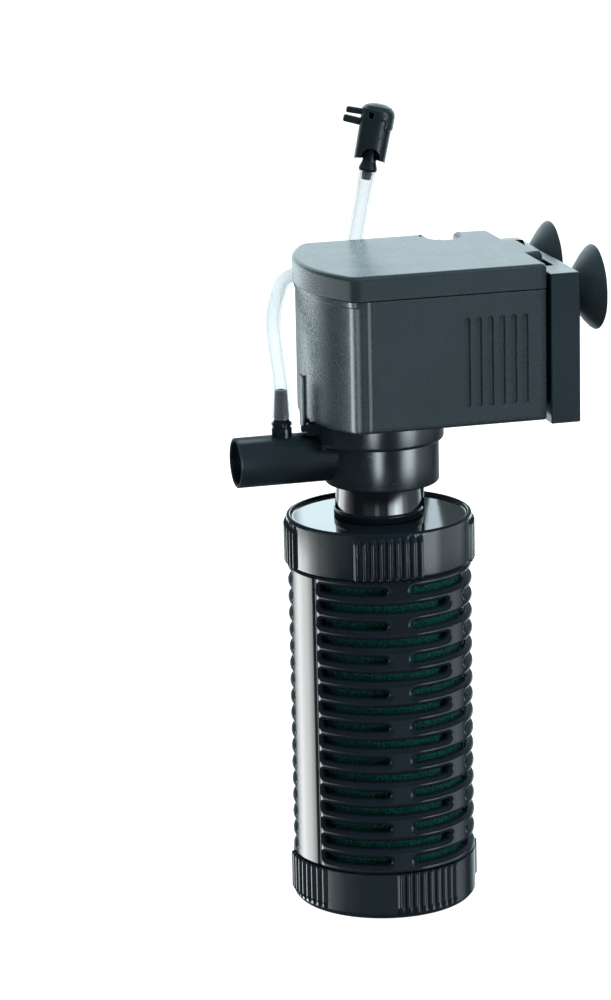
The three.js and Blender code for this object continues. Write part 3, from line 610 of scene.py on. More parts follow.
# ------------------------------------------------------------------ strainer: slotted tube
def strainer():
    z0, z1 = Z_BOT + 0.2, Z_TOP - 0.2
    ri = R_BODY - 2.6
    row_z, pitch, rows = 109.97, 5.645, 17
    spans = [[(-148, -102), (-86, 1.5)], [(-148, -58.5), (-41, 1.5)]]
    hw = 1.22
    slots = []
    for i in range(rows):
        for a0, a1 in spans[i % 2]:
            for t in (0, 180):
                slots.append((math.radians(a0 + t) * R_BODY + hw, math.radians(a1 + t) * R_BODY - hw, row_z - i * pitch))
    circ = 2 * math.pi * R_BODY
    # columns: even spacing with finer ones round the two moulded grooves
    ang = list(np.arange(-180, 180, 1.25))
    for g in (-151.25, 28.75):
        ang = [a for a in ang if abs(a - g) > 1.9]
        ang += list(np.arange(g - 1.8, g + 1.81, 0.3))
    ang = np.array(sorted(ang))
    n = len(ang)
    zs = np.arange(0, rows * 15 + 1) / (rows * 15)
    zs = z0 + 1.2 + (z1 - z0 - 2.4) * zs
    zs = np.concatenate([[z0, z0 + 0.25, z0 + 0.7], zs, [z1 - 0.7, z1 - 0.25, z1]])
    m = len(zs)
    S = np.radians(ang) * R_BODY
    A, Z = np.meshgrid(S, zs, indexing="ij")
    d = np.full(A.shape, 99.0)
    for s0, s1, zc in slots:
        rows_near = np.abs(zs - zc) < 4.5
        sub = A[:, rows_near]
        mid, half = (s0 + s1) / 2, (s1 - s0) / 2
        ds = np.abs((sub - mid + circ / 2) % circ - circ / 2) - half
        ds = np.maximum(ds, 0)
        dz = Z[:, rows_near] - zc
        d[:, rows_near] = np.minimum(d[:, rows_near], np.sqrt(ds ** 2 + dz ** 2) - hw)
    rho = 1.5

    def radius(dd, s, z):
        t = np.clip((rho - np.maximum(dd, 0)) / rho, 0, 1)
        r = R_BODY - 1.35 * (1 - np.sqrt(np.maximum(1 - t ** 2, 0)))
        for g in (-151.25, 28.75):
            ds = ((s - math.radians(g) * R_BODY + circ / 2) % circ) - circ / 2
            r = r - 0.75 * np.exp(-(ds / 0.34) ** 2)
            # the slotted side of the groove starts with a soft shoulder
            r = r - 0.28 * np.exp(-((ds - 1.0) / 0.55) ** 2) * (ds > 0)
        for g in (-162.6, 17.4):
            ds = ((s - math.radians(g) * R_BODY + circ / 2) % circ) - circ / 2
            r = r + 0.0 * ds
        e = np.minimum(z - z0, z1 - z)
        r = r - 0.35 * (1 - np.sqrt(np.clip(1 - (1 - np.clip(e / 0.7, 0, 1)) ** 2, 0, 1)))
        return r

    inside = d > 0
    idx = -np.ones((n, m), int)
    pts_s, pts_z, pts_d = [], [], []

    def add(s, z, dd):
        pts_s.append(s)
        pts_z.append(z)
        pts_d.append(dd)
        return len(pts_s) - 1

    for i in range(n):
        for j in range(m):
            if inside[i, j]:
                idx[i, j] = add(S[i], zs[j], d[i, j])
    edge = {}

    def cross(i0, j0, i1, j1):
        key = (i0, j0, i1, j1) if (i0, j0) < (i1, j1) else (i1, j1, i0, j0)
        if key in edge:
            return edge[key]
        da, db = d[i0, j0], d[i1, j1]
        t = da / (da - db)
        sa, sb = S[i0], S[i1]
        if abs(sb - sa) > circ / 2:
            sb = sb + circ if sb < sa else sb - circ
        edge[key] = add(sa + (sb - sa) * t, zs[j0] + (zs[j1] - zs[j0]) * t, 0.0)
        return edge[key]

    faces, wall = [], []
    for i in range(n):
        i2 = (i + 1) % n
        for j in range(m - 1):
            cs = [(i, j), (i2, j), (i2, j + 1), (i, j + 1)]
            ins = [inside[c] for c in cs]
            if all(ins):
                faces.append([idx[c] for c in cs])
                continue
            if not any(ins):
                continue
            poly, tag = [], []
            for k in range(4):
                a, b = cs[k], cs[(k + 1) % 4]
                if ins[k]:
                    poly.append(idx[a])
                    tag.append(0)
                if ins[k] != ins[(k + 1) % 4]:
                    poly.append(cross(*a, *b))
                    tag.append(1)
            if len(poly) < 3:
                continue
            faces.append(poly)
            for k in range(len(poly)):
                if tag[k] and tag[(k + 1) % len(poly)]:
                    wall.append((poly[k], poly[(k + 1) % len(poly)]))
    s, z, dd = np.array(pts_s), np.array(pts_z), np.array(pts_d)
    th = s / R_BODY
    r = radius(dd, s, z)
    nv = len(s)
    outer = np.stack([r * np.cos(th), r * np.sin(th), z], -1)
    innr = np.stack([ri * np.cos(th), ri * np.sin(th), z], -1)
    verts = np.concatenate([outer, innr])
    allf = list(faces) + [[v + nv for v in reversed(f)] for f in faces]
    allf += [[b, a, a + nv, b + nv] for a, b in wall]
    for j, flip in ((0, False), (m - 1, True)):
        for i in range(n):
            a, b = idx[i, j], idx[(i + 1) % n, j]
            q = [a, b, b + nv, a + nv]
            allf.append(q if flip else q[::-1])
    o = obj_from("strainer_shell", verts, allf, M["gloss"], "strainer_body", sharp=48)
    return o


strainer()
# end spigots that reach into the caps, with their bayonet lugs
for tag, a, b, zl in (("low", 8.5, 17.3, 11.8), ("high", 112.2, 121.0, 117.8)):
    v, f = revolve(smooth_corners([(25.9, a, 0), (27.7, a, 0.5), (27.7, b), (25.9, b), (25.9, a + 0.01)], 4), 96, closed=True)
    obj_from("strainer_spigot_" + tag, v, f, M["gloss"], body="strainer", sharp=40)
    for k in range(4):
        c = math.radians(45 + 90 * k)
        w = math.radians(6)
        n = 8
        vv, ff = [], []
        for i in range(n + 1):
            t = c - w + 2 * w * i / n
            e = 0.25 if i in (0, n) else 0.0
            for rr, zz in ((27.2, zl - 0.9), (28.9 - e, zl - 0.7 + e * 0.3), (28.9 - e, zl + 0.7 - e * 0.3), (27.2, zl + 0.9)):
                vv.append((rr * math.cos(t), rr * math.sin(t), zz))
        for i in range(n):
            for q in range(4):
                ff.append((4 * i + q, 4 * i + (q + 1) % 4, 4 * i + 4 + (q + 1) % 4, 4 * i + 4 + q))
        ff += [(0, 1, 2, 3), (4 * n + 3, 4 * n + 2, 4 * n + 1, 4 * n)]
        obj_from("strainer_lug_%s_%d" % (tag, k), vv, ff, M["gloss"], body="strainer", sharp=30)


# ------------------------------------------------------------------ sponge: open-cell foam cylinder
def sponge():
    n, m = ((220, 280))
    verts, faces = [], []
    za, zb, R, ri = 4.2, 117.8, 25.9, 9.5
    prof = [(ri, za + 1.2), (ri + 0.8, za), (R - 1.6, za), (R - 0.4, za + 0.5)]
    prof += [(R, za + 1.5 + (zb - za - 3.0) * i / m) for i in range(m + 1)]
    prof += [(R - 0.4, zb - 0.5), (R - 1.6, zb), (ri + 0.8, zb), (ri, zb - 1.2)]
    for r, z in prof:
        for i in range(n):
            t = 2 * math.pi * i / n
            c, s = math.cos(t), math.sin(t)
            dr = 0.0
            if r > 15:
                p = Vector((c * r * 0.16, s * r * 0.16, z * 0.16))
                q = Vector((c * r * 0.9, s * r * 0.9, z * 0.9))
                dr = 0.35 * noise.noise(p) + 0.28 * noise.noise(q) - 0.1
            verts.append(((r + dr) * c, (r + dr) * s, z))
    k = len(prof)
    for a in range(k):
        b = (a + 1) % k
        for i in range(n):
            j = (i + 1) % n
            faces.append((a * n + i, a * n + j, b * n + j, b * n + i))
    return obj_from("sponge_foam_cylinder", verts, faces, M["sponge"], "filter_sponge", sharp=None)


sponge()

# ------------------------------------------------------------------ intake neck
z0 = Z_CAP - 0.8
neck = lathe_raw("neck_base", [(10.4, 122.5, 0), (12.3, 122.5, 0.4), (12.3, z0), (14.5, z0, 0.2), (14.5, z0 + 2.2, 0.5), (NECK_R + 0.42, z0 + 2.7, 0.5),
                               (NECK_R - 0.12, Z_COVER - 0.2, 0.25), (12.2, Z_COVER - 0.2, 0.3), (12.2, 130.2), (10.4, 129.4), (10.4, 122.6)], 144)
rib = box_raw("neck_rib", NECK_R - 1.2, NECK_R + 1.1, -0.75, 0.75, z0 + 0.3, Z_COVER - 0.6, 0.3, 3)
rib.data.transform(Matrix.Rotation(math.radians(-14), 4, "Z"))
boolean(neck, [("UNION", rib)], "intake_neck_tube", M["gloss"], "intake_neck", sharp=35)


# ------------------------------------------------------------------ pump cover with outlet pipe
def pump_cover():
    cup = lathe_raw("pc_cup", [(0, Z_COVER), (COVER_R, Z_COVER, 0.7), (COVER_R, Z_COLLAR, 0.2), (0, Z_COLLAR)], 144, closed=False)
    cup.data.transform(Matrix.Translation((VOLUTE_X * MM, 0, 0)))
    spig = lathe_raw("pc_sp", [(0, Z_COVER + 1), (16.9, Z_COVER + 1), (16.9, 158.9, 0.15), (15.9, 158.9, 0.1), (15.9, 160.7, 0.1), (16.9, 160.7, 0.15),
                               (16.9, 161.9, 0.4), (0, 161.9)], 128, closed=False)
    inlet = lathe_raw("pc_inlet", [(0, 131), (11.9, 131, 0.4), (11.9, 134.4, 0.1), (10.85, 134.4, 0.1), (10.85, 136, 0.1), (11.9, 136, 0.1), (11.9, 142), (0, 142)], 96)
    pipe = lathe_raw("pc_pipe", [(0, PIPE_X), (PIPE_R, PIPE_X, 0.32), (PIPE_R, -8), (0, -8)], 96, axis_x(0, PIPE_Z))
    pad = lathe_raw("pc_pad", [(0, 150), (2.9, 150), (2.9, PIPE_Z + PIPE_R + 0.2, 0.25), (0, PIPE_Z + PIPE_R + 0.2)], 48, closed=False)
    pad.data.transform(Matrix.Translation((NIPPLE_X * MM, 0, 0)))
    chamber = lathe_raw("pc_in", [(0, 142.3), (14.9, 142.3), (14.9, 163), (0, 163)], 96, closed=False)
    volute = lathe_raw("pc_vo", [(0, 142.3), (16.4, 142.3, 0.8), (16.4, 152.6, 0.4), (0, 152.6)], 96, closed=False)
    volute.data.transform(Matrix.Translation((VOLUTE_X * MM, 0, 0)))
    bore = lathe_raw("pc_bore", [(0, PIPE_X - 1), (PIPE_RI + 0.25, PIPE_X - 1), (PIPE_RI + 0.25, PIPE_X + 0.05), (PIPE_RI, PIPE_X + 0.3), (PIPE_RI, -8.5), (0, -8.5)], 96, axis_x(0, PIPE_Z))
    ibore = lathe_raw("pc_ib", [(0, 130), (10.3, 130), (10, 130.4 + 0.9, 0.2), (10, 143), (0, 143)], 72)
    hole = lathe_raw("pc_h", [(0, 152), (2.1, 152), (2.1, 163), (0, 163)], 24)
    hole.data.transform(Matrix.Translation((NIPPLE_X * MM, 0, 0)))
    ops = [("UNION", spig), ("UNION", inlet), ("UNION", pipe), ("UNION", pad), ("DIFFERENCE", chamber), ("DIFFERENCE", volute), ("DIFFERENCE", bore), ("DIFFERENCE", ibore), ("DIFFERENCE", hole)]
    hub = lathe_raw("pc_hub", [(3.3, 134), (3.3, 138.4), (4.6, 138.4, 0.3), (4.6, 132.4, 0.5), (0, 132.4), (0, 134)], 48, closed=False)
    arms = []
    for a in (0, 120, 240):
        arm = box_raw("pc_arm%d" % a, 4.0, 10.9, -0.9, 0.9, 132.4, 136.4, 0.2, 2)
        arm.data.transform(Matrix.Rotation(math.radians(a), 4, "Z"))
        arms.append(arm)
    ops += [("UNION", hub)] + [("UNION", a) for a in arms]
    return boolean(cup, ops, "pump_cover_shell", M["satin"], "pump_cover", sharp=35)


pump_cover()

# housing collar: a ring with a rounded lower edge, notched for the outlet pipe
ring = lathe_raw("hc", [(17.3, Z_COLLAR + 0.2), (COLLAR_R, Z_COLLAR + 0.2, 1.3), (COLLAR_R, Z_HEAD - 0.1), (17.3, Z_HEAD - 0.1), (17.3, Z_COLLAR + 0.21)], 144, arcs=6)
cutp = lathe_raw("hc_cut", [(0, -34), (PIPE_R + 0.5, -34), (PIPE_R + 0.5, -8), (0, -8)], 72, axis_x(0, PIPE_Z))
boolean(ring, [("DIFFERENCE", cutp)], "housing_collar_ring", M["satin"], "housing_collar", sharp=35)

# latch tab of the casing, hanging down the middle of the nose
tab = box_raw("lt", -25.2, -22.6, -1.9, 2.7, 159.4, 176.4, 0.5, 4)
boolean(tab, [], "nose_latch_tab", M["head"], body="pump", sharp=40)

# small glossy catch on the pump cover, under the nose
catch = box_raw("cc", -24.6, -19.4, -5.6, -3.2, 157.4, 161.9, 0.6, 4)
nub = lathe_raw("cn", [(0, -1.6), (1.15, -1.6, 0.5), (1.15, 1.6, 0.5), (0, 1.6)], 24, axis_x(-4.4, 160.0), closed=False)
nub.data.transform(Matrix.Translation((-25.0 * MM, 0, 0)))
boolean(catch, [("UNION", nub)], "cover_catch", M["gloss"], body="cover", sharp=35)

# air nipple: grooved base ring with small flats, tapered barb
zb = PIPE_Z + PIPE_R + 0.4
v, f = revolve(smooth_corners([(1.1, 154.6), (1.8, 154.6), (1.8, zb), (3.3, zb, 0.05), (3.3, zb + 2.0, 0.15), (2.85, zb + 2.2, 0.1), (2.85, zb + 2.5, 0.1), (3.3, zb + 2.7, 0.15),
                               (3.3, zb + 3.7, 0.3), (2.75, zb + 4.1, 0.2), (2.45, zb + 4.7, 0.2), (1.98, 171.7, 0.1), (1.9, 172.2, 0.15), (1.1, 172.2), (1.1, 154.62)], 4), 72)
v = np.array(v)
th = np.arctan2(v[:, 1], v[:, 0])
rr = np.hypot(v[:, 0], v[:, 1])
foot = (rr > 2.95) & (v[:, 2] < zb + 0.3)        # the base follows the round of the pipe
v[foot, 2] += np.sqrt(PIPE_R ** 2 - (rr[foot] * np.sin(th[foot])) ** 2) - PIPE_R - 0.3
knurl = (rr > 3.0) & (v[:, 2] > zb + 2.6)
fl = 1 - 0.06 * (0.5 + 0.5 * np.cos(th * 12))
v[knurl, 0] *= fl[knurl]
v[knurl, 1] *= fl[knurl]
v[:, 0] += NIPPLE_X
obj_from("air_nipple_barb", v, f, M["gloss"], "air_nipple", sharp=35)


# ------------------------------------------------------------------ swept tubes
def catmull(points, per=10, alpha=0.5):
    P = [np.array(p, float) for p in points]
    P = [2 * P[0] - P[1]] + P + [2 * P[-1] - P[-2]]
    out = []
    for i in range(1, len(P) - 2):
        p0, p1, p2, p3 = P[i - 1:i + 3]
        t0 = 0.0
        t1 = t0 + np.linalg.norm(p1 - p0) ** alpha
        t2 = t1 + np.linalg.norm(p2 - p1) ** alpha
        t3 = t2 + np.linalg.norm(p3 - p2) ** alpha
        for k in range(per):
            t = t1 + (t2 - t1) * k / per
            a1 = (t1 - t) / (t1 - t0) * p0 + (t - t0) / (t1 - t0) * p1
            a2 = (t2 - t) / (t2 - t1) * p1 + (t - t1) / (t2 - t1) * p2
            a3 = (t3 - t) / (t3 - t2) * p2 + (t - t2) / (t3 - t2) * p3
            b1 = (t2 - t) / (t2 - t0) * a1 + (t - t0) / (t2 - t0) * a2
            b2 = (t3 - t) / (t3 - t1) * a2 + (t - t1) / (t3 - t1) * a3
            out.append((t2 - t) / (t2 - t1) * b1 + (t - t1) / (t2 - t1) * b2)
    out.append(P[-2])
    return np.array(out)


def resample(c, step):
    d = np.concatenate([[0], np.cumsum(np.linalg.norm(np.diff(c, axis=0), axis=1))])
    n = max(8, int(d[-1] / step))
    s = np.linspace(0, d[-1], n + 1)
    return np.stack([np.interp(s, d, c[:, k]) for k in range(3)], -1), s


def frames(c):
    t = np.gradient(c, axis=0)
    t /= np.linalg.norm(t, axis=1)[:, None]
    ref = np.array([1.0, 0, 0]) if abs(t[0, 0]) < 0.9 else np.array([0, 1.0, 0])
    u = np.zeros_like(c)
    cur = ref - (ref @ t[0]) * t[0]
    for i in range(len(c)):
        cur = cur - (cur @ t[i]) * t[i]
        cur /= np.linalg.norm(cur)
        u[i] = cur
    return t, u, np.cross(t, u)


def sweep(c, radii, n):
    """Rings of the given radii along c. radii may repeat the path backwards for a hollow tube."""
    t, u, w = frames(c)
    ang = np.linspace(0, 2 * math.pi, n, endpoint=False)
    rings = []
    for i, r in radii:
        rings.append(c[i] + r * (np.cos(ang)[:, None] * u[i] + np.sin(ang)[:, None] * w[i]))
    verts = np.concatenate(rings)
    faces = []
    k = len(rings)
    for a in range(k):
        b = (a + 1) % k
        for i in range(n):
            j = (i + 1) % n
            faces.append((a * n + i, a * n + j, b * n + j, b * n + i))
    return verts, faces


def along(t):
    return [VALVE_AT[0] + math.sin(TILT) * t, VALVE_AT[1], VALVE_AT[2] + math.cos(TILT) * t]


hose_pts = [[NIPPLE_X, 0, 163.0], [NIPPLE_X, 0, 168], [NIPPLE_X, 0, 172.6], [-32.3, 1.2, 180], [-32.4, 4.6, 188], [-31.0, 10.6, 194.2],
            [-27.6, 18.6, 198.6], [-21.9, 29.8, 201.8], [-13.6, 35.4, 202.8], [-6.0, 35.6, 203.0], [0.2, 35.4, 206.2],
            [3.3, 35.25, 211.0], along(-22), along(-16), along(-11), along(-5.5)]
c, s = resample(catmull(hose_pts, 12), 0.8)
for _ in range(6):      # a soft tube has no sudden bends
    c[4:-4] = 0.5 * c[4:-4] + 0.25 * (c[3:-5] + c[5:-3])
ro = np.interp(s, [0, 1.2, 9.5, 14], [3.28, 3.2, 2.78, HOSE_R])
ri = np.interp(s, [0, 1.2, 9.5, 14], [2.75, 2.65, 2.1, HOSE_RI])
tail = s[-1] - s
ro = ro + 0.28 * (1 - smoothstep(tail, 3.0, 6.0))
ri = ri + 0.22 * (1 - smoothstep(tail, 3.0, 6.0))
k = len(c)
rad = [(i, ro[i]) for i in range(k)] + [(i, ri[i]) for i in reversed(range(k))]
v, f = sweep(c, rad, 40)
obj_from("air_hose_clear", v, f, M["hose"], "air_hose", sharp=50)

# power cable stub and its moulded strain relief
xc, zc = 30.8, 208.1
cab, s = resample(catmull([[xc, 22.6, zc], [xc, 28, zc], [xc, 32.5, zc], [xc, 36.4, zc - 1.6], [xc, 38.4, zc - 6], [xc, 38.8, zc - 12], [xc, 38.8, zc - 24]], 10), 0.8)
k = len(cab)
v, f = sweep(cab, [(0, 0.05), (0, 2.1)] + [(i, 2.25) for i in range(1, k - 1)] + [(k - 1, 2.2), (k - 1, 1.5), (k - 1, 0.05)], 32)
f = [q for q in f if not (min(q) < 32 and max(q) >= 32 * (len(v) // 32 - 1))]
last = len(v) - 32
f += [list(range(31, -1, -1)), list(range(last, last + 32))]
obj_from("power_cable_stub", v, f, M["cable"], "power_cable", sharp=40)
for tag, dx in (("a", -0.75), ("b", 0.75)):
    vv, ff = revolve(smooth_corners([(0, zc - 26.2), (0.42, zc - 26.2, 0.1), (0.42, zc - 23.6), (0, zc - 23.6)], 3), 20, closed=False)
    vv = np.array(vv) + np.array([xc + dx, 38.8, 0])
    obj_from("cable_wire_" + tag, vv, ff, M["copper"], body="pump", sharp=40)
g = lathe_raw("gr", [(2.4, 23.0), (2.85, 23.0, 0.15), (2.85, 26.6, 0.15), (2.55, 27.0, 0.1), (2.55, 27.5, 0.1), (2.8, 27.9, 0.1), (2.55, 28.3, 0.1), (2.55, 28.8, 0.1), (2.8, 29.2, 0.1),
                     (2.55, 29.6, 0.1), (2.55, 30.1, 0.1), (2.85, 30.6, 0.15), (2.85, 31.5, 0.2), (2.4, 31.8), (2.4, 23.01)], 64)
mx = np.eye(4)
mx[:3, :3] = np.array([[1, 0, 0], [0, 0, 1], [0, -1, 0]])
mx[:3, 3] = (xc, 0, zc)
gv = np.array([vv.co for vv in g.data.vertices]) / MM
gf = [list(p.vertices) for p in g.data.polygons]
bpy.data.objects.remove(g)
obj_from("cable_grommet_sleeve", gv, gf, M["seal"], "cable_grommet", xf=mx, sharp=40)


# ------------------------------------------------------------------ air valve
def air_valve():
    stem = lathe_raw("st", [(1.0, -8.2), (1.45, -8.2, 0.12), (1.72, -7.2), (1.55, -7.15, 0.05), (1.8, -6.1), (1.62, -6.05, 0.05), (1.62, -5.35), (2.9, -5.3, 0.2), (3.08, -4.4, 0.35), (2.3, -2.2, 0.5), (2.15, 2.4),
                            (4.55, 2.9, 0.3), (4.55, 14.4, 0.2), (3.3, 14.4, 0.2), (3.3, 4.2), (1.0, 3.2), (1.0, -8.19)], 72)
    turn = Matrix.Rotation(math.radians(-39), 4, "Z")
    port = box_raw("po", -0.9, 0.9, -6, 0, 12.0, 13.8)
    port.data.transform(turn)
    stem_o = boolean(stem, [("DIFFERENCE", port)], "air_valve_barb", M["valve"], "air_valve_stem", sharp=35)
    body = lathe_raw("cb", [(4.85, -1.9), (5.12, -1.9, 0.13), (5.3, 11.9, 0.2), (5.72, 12.2, 0.25), (5.75, 13.5, 0.5), (5.35, 14.9, 0.9), (4.2, 16.1, 1.0), (2.2, 16.8, 1.5), (0, 16.9),
                            (0, 14.9), (4.85, 14.9, 0.5), (4.85, -1.88)], 120)
    # the eave is only on the +X side; elsewhere the dome runs straight into the sleeve
    for vt in body.data.vertices:
        x, y, z = vt.co / MM
        r = math.hypot(x, y)
        if r > 5.31 and z > 11.5:
            w = float(smoothstep(x / r, -0.35, 0.55))
            q = (5.31 + (r - 5.31) * w) / r
            vt.co.x *= q
            vt.co.y *= q
    ops = []
    skirt = lathe_raw("sk", [(5.0, 8.9), (5.55, 8.9, 0.2), (5.73, 9.6, 0.3), (5.73, 12.9, 0.2), (5.0, 12.9), (5.0, 8.91)], 96)
    ops.append(("UNION", skirt))
    keep = box_raw("kp", 1.6, 8, -8, 8, 8, 14, 0.0)
    md = skirt.modifiers.new("i", "BOOLEAN")
    md.operation, md.object, md.solver = "INTERSECT", keep, "EXACT"
    me = bpy.data.meshes.new_from_object(skirt.evaluated_get(bpy.context.evaluated_depsgraph_get()))
    skirt.modifiers.clear()
    skirt.data = me
    bpy.data.objects.remove(keep)
    for z, w, tip, tw in ((10.0, 2.35, -11.0, 2.5), (13.35, 2.05, -10.5, -2.5)):
        p = box_raw("pr", tip, -4.95, -1.2, 1.2, z - w / 2, z + w / 2, 0.6, 4)
        p.data.transform(Matrix.Translation((5 * MM, 0, -z * MM)))
        p.data.transform(Matrix.Rotation(math.radians(tw), 4, "Y"))
        p.data.transform(Matrix.Translation((-5 * MM, 0, z * MM)))
        p.data.transform(Matrix.Rotation(math.radians(-32), 4, "Z"))
        ops.append(("UNION", p))
    win = box_raw("wi", -0.85, 0.85, -7, -3, 12.0, 14.2, 0.2, 3)
    win.data.transform(turn)
    ops.append(("DIFFERENCE", win))
    # arched opening in the lower front, where the connector shows
    arch = lathe_raw("ar", [(0, 3.6), (3.2, 3.6), (3.2, 7.0), (0, 7.0)], 64, closed=False)
    arch.data.transform(Matrix.Rotation(math.radians(90), 4, "X"))
    arch.data.transform(Matrix.Scale(1.1, 4, (0, 0, 1)))
    arch.data.transform(Matrix.Translation((0, 0, -0.9 * MM)))
    arch.data.transform(Matrix.Rotation(math.radians(-15), 4, "Z"))
    ops.append(("DIFFERENCE", arch))
    cap = boolean(body, ops, "air_valve_hood", M["valve"], "air_valve_cap", sharp=35)
    # rounded corners beside the opening
    for vt in cap.data.vertices:
        x, y, z = vt.co / MM
        if z < 0.4:
            a = math.degrees(math.atan2(y, x)) + 105
            near = float(smoothstep(abs((a + 180) % 360 - 180), 95, 40))
            vt.co.z += (0.4 - z) * 0.30 * near * MM
    xf = valve_xf()
    for o in (stem_o, cap):
        m4 = Matrix([list(r) for r in xf])
        for i in range(3):
            m4[i][3] *= MM
        o.data.transform(m4)


air_valve()


# ------------------------------------------------------------------ motor head
def head_outline(nose, half, back, r=NOSE_R, corner=CORNER_R, rear=1.0, step=0.8, rail=None):
    """Plan outline as dense points, anticlockwise, starting at the middle of the back."""
    cx = nose + r
    fx = cx - math.sqrt((r - corner) ** 2 - (half - corner) ** 2)
    fy = half - corner
    a = math.degrees(math.atan2(fy, fx - cx))

    def arc(x, y, rr, a0, a1, n):
        t = np.radians(np.linspace(a0, a1, n + 1))
        return [(x + rr * math.cos(q), y + rr * math.sin(q)) for q in t]

    pts = []
    if rail is None:
        pts += [(back, 0.0)]
    else:
        neck, head, x1, x2 = rail
        pts += [(x2, 0.0), (x2, head - 0.4), (x2 - 0.12, head - 0.12), (x2 - 0.4, head), (x1 + 0.2, head), (x1, head - 0.2), (x1, neck + 0.3), (x1 - 0.15, neck), (back + 0.4, neck), (back, neck + 0.4)]
    pts += arc(back - rear, half - rear, rear, 0, 90, 5)
    side = np.linspace(back - rear, fx, max(2, int((back - rear - fx) / step)))[1:-1]
    top_side = [(x, half) for x in side]
    nose_arc = arc(fx, fy, corner, 90, a, 8) + arc(cx, 0, r, a, 180, 26)[1:]
    pts_half = pts + top_side + nose_arc
    mirror = [(x, -y) for x, y in reversed(pts_half[1:-1])]
    return np.array(pts_half + mirror)


def offset(poly, d):
    """Moves each point of a closed anticlockwise polygon inwards by d (mitred, limited)."""
    prev, nxt = np.roll(poly, 1, 0), np.roll(poly, -1, 0)
    e1, e2 = poly - prev, nxt - poly
    e1 /= np.maximum(np.linalg.norm(e1, axis=1), 1e-9)[:, None]
    e2 /= np.maximum(np.linalg.norm(e2, axis=1), 1e-9)[:, None]
    n1, n2 = np.stack([-e1[:, 1], e1[:, 0]], -1), np.stack([-e2[:, 1], e2[:, 0]], -1)
    m = n1 + n2
    m /= np.maximum(np.linalg.norm(m, axis=1), 1e-9)[:, None]
    c = np.maximum((m * n1).sum(1), 0.5)
    return poly + m * (d / c)[:, None]


def ring_faces(a0, b0, n):
    return [(a0 + i, a0 + (i + 1) % n, b0 + (i + 1) % n, b0 + i) for i in range(n)]


def fill_between(verts, loops, z_unused=None):
    """Triangulated flat region bounded by the vertex loops (first is the outer one)."""
    bm = bmesh.new()
    ids, edges = {}, []
    for loop in loops:
        vs = [bm.verts.new(verts[i]) for i in loop]
        for i, vv in zip(loop, vs):
            ids[vv] = i
        for a, b in zip(vs, vs[1:] + vs[:1]):
            edges.append(bm.edges.new((a, b)))
    res = bmesh.ops.triangle_fill(bm, edges=edges, use_beauty=True, use_dissolve=False)
    faces = [[ids[x] for x in f.verts] for f in res["geom"] if isinstance(f, bmesh.types.BMFace)]
    bm.free()
    return faces


def circle_pts(r, n):
    t = np.linspace(0, 2 * math.pi, n, endpoint=False)
    return np.stack([r * np.cos(t), r * np.sin(t)], -1)


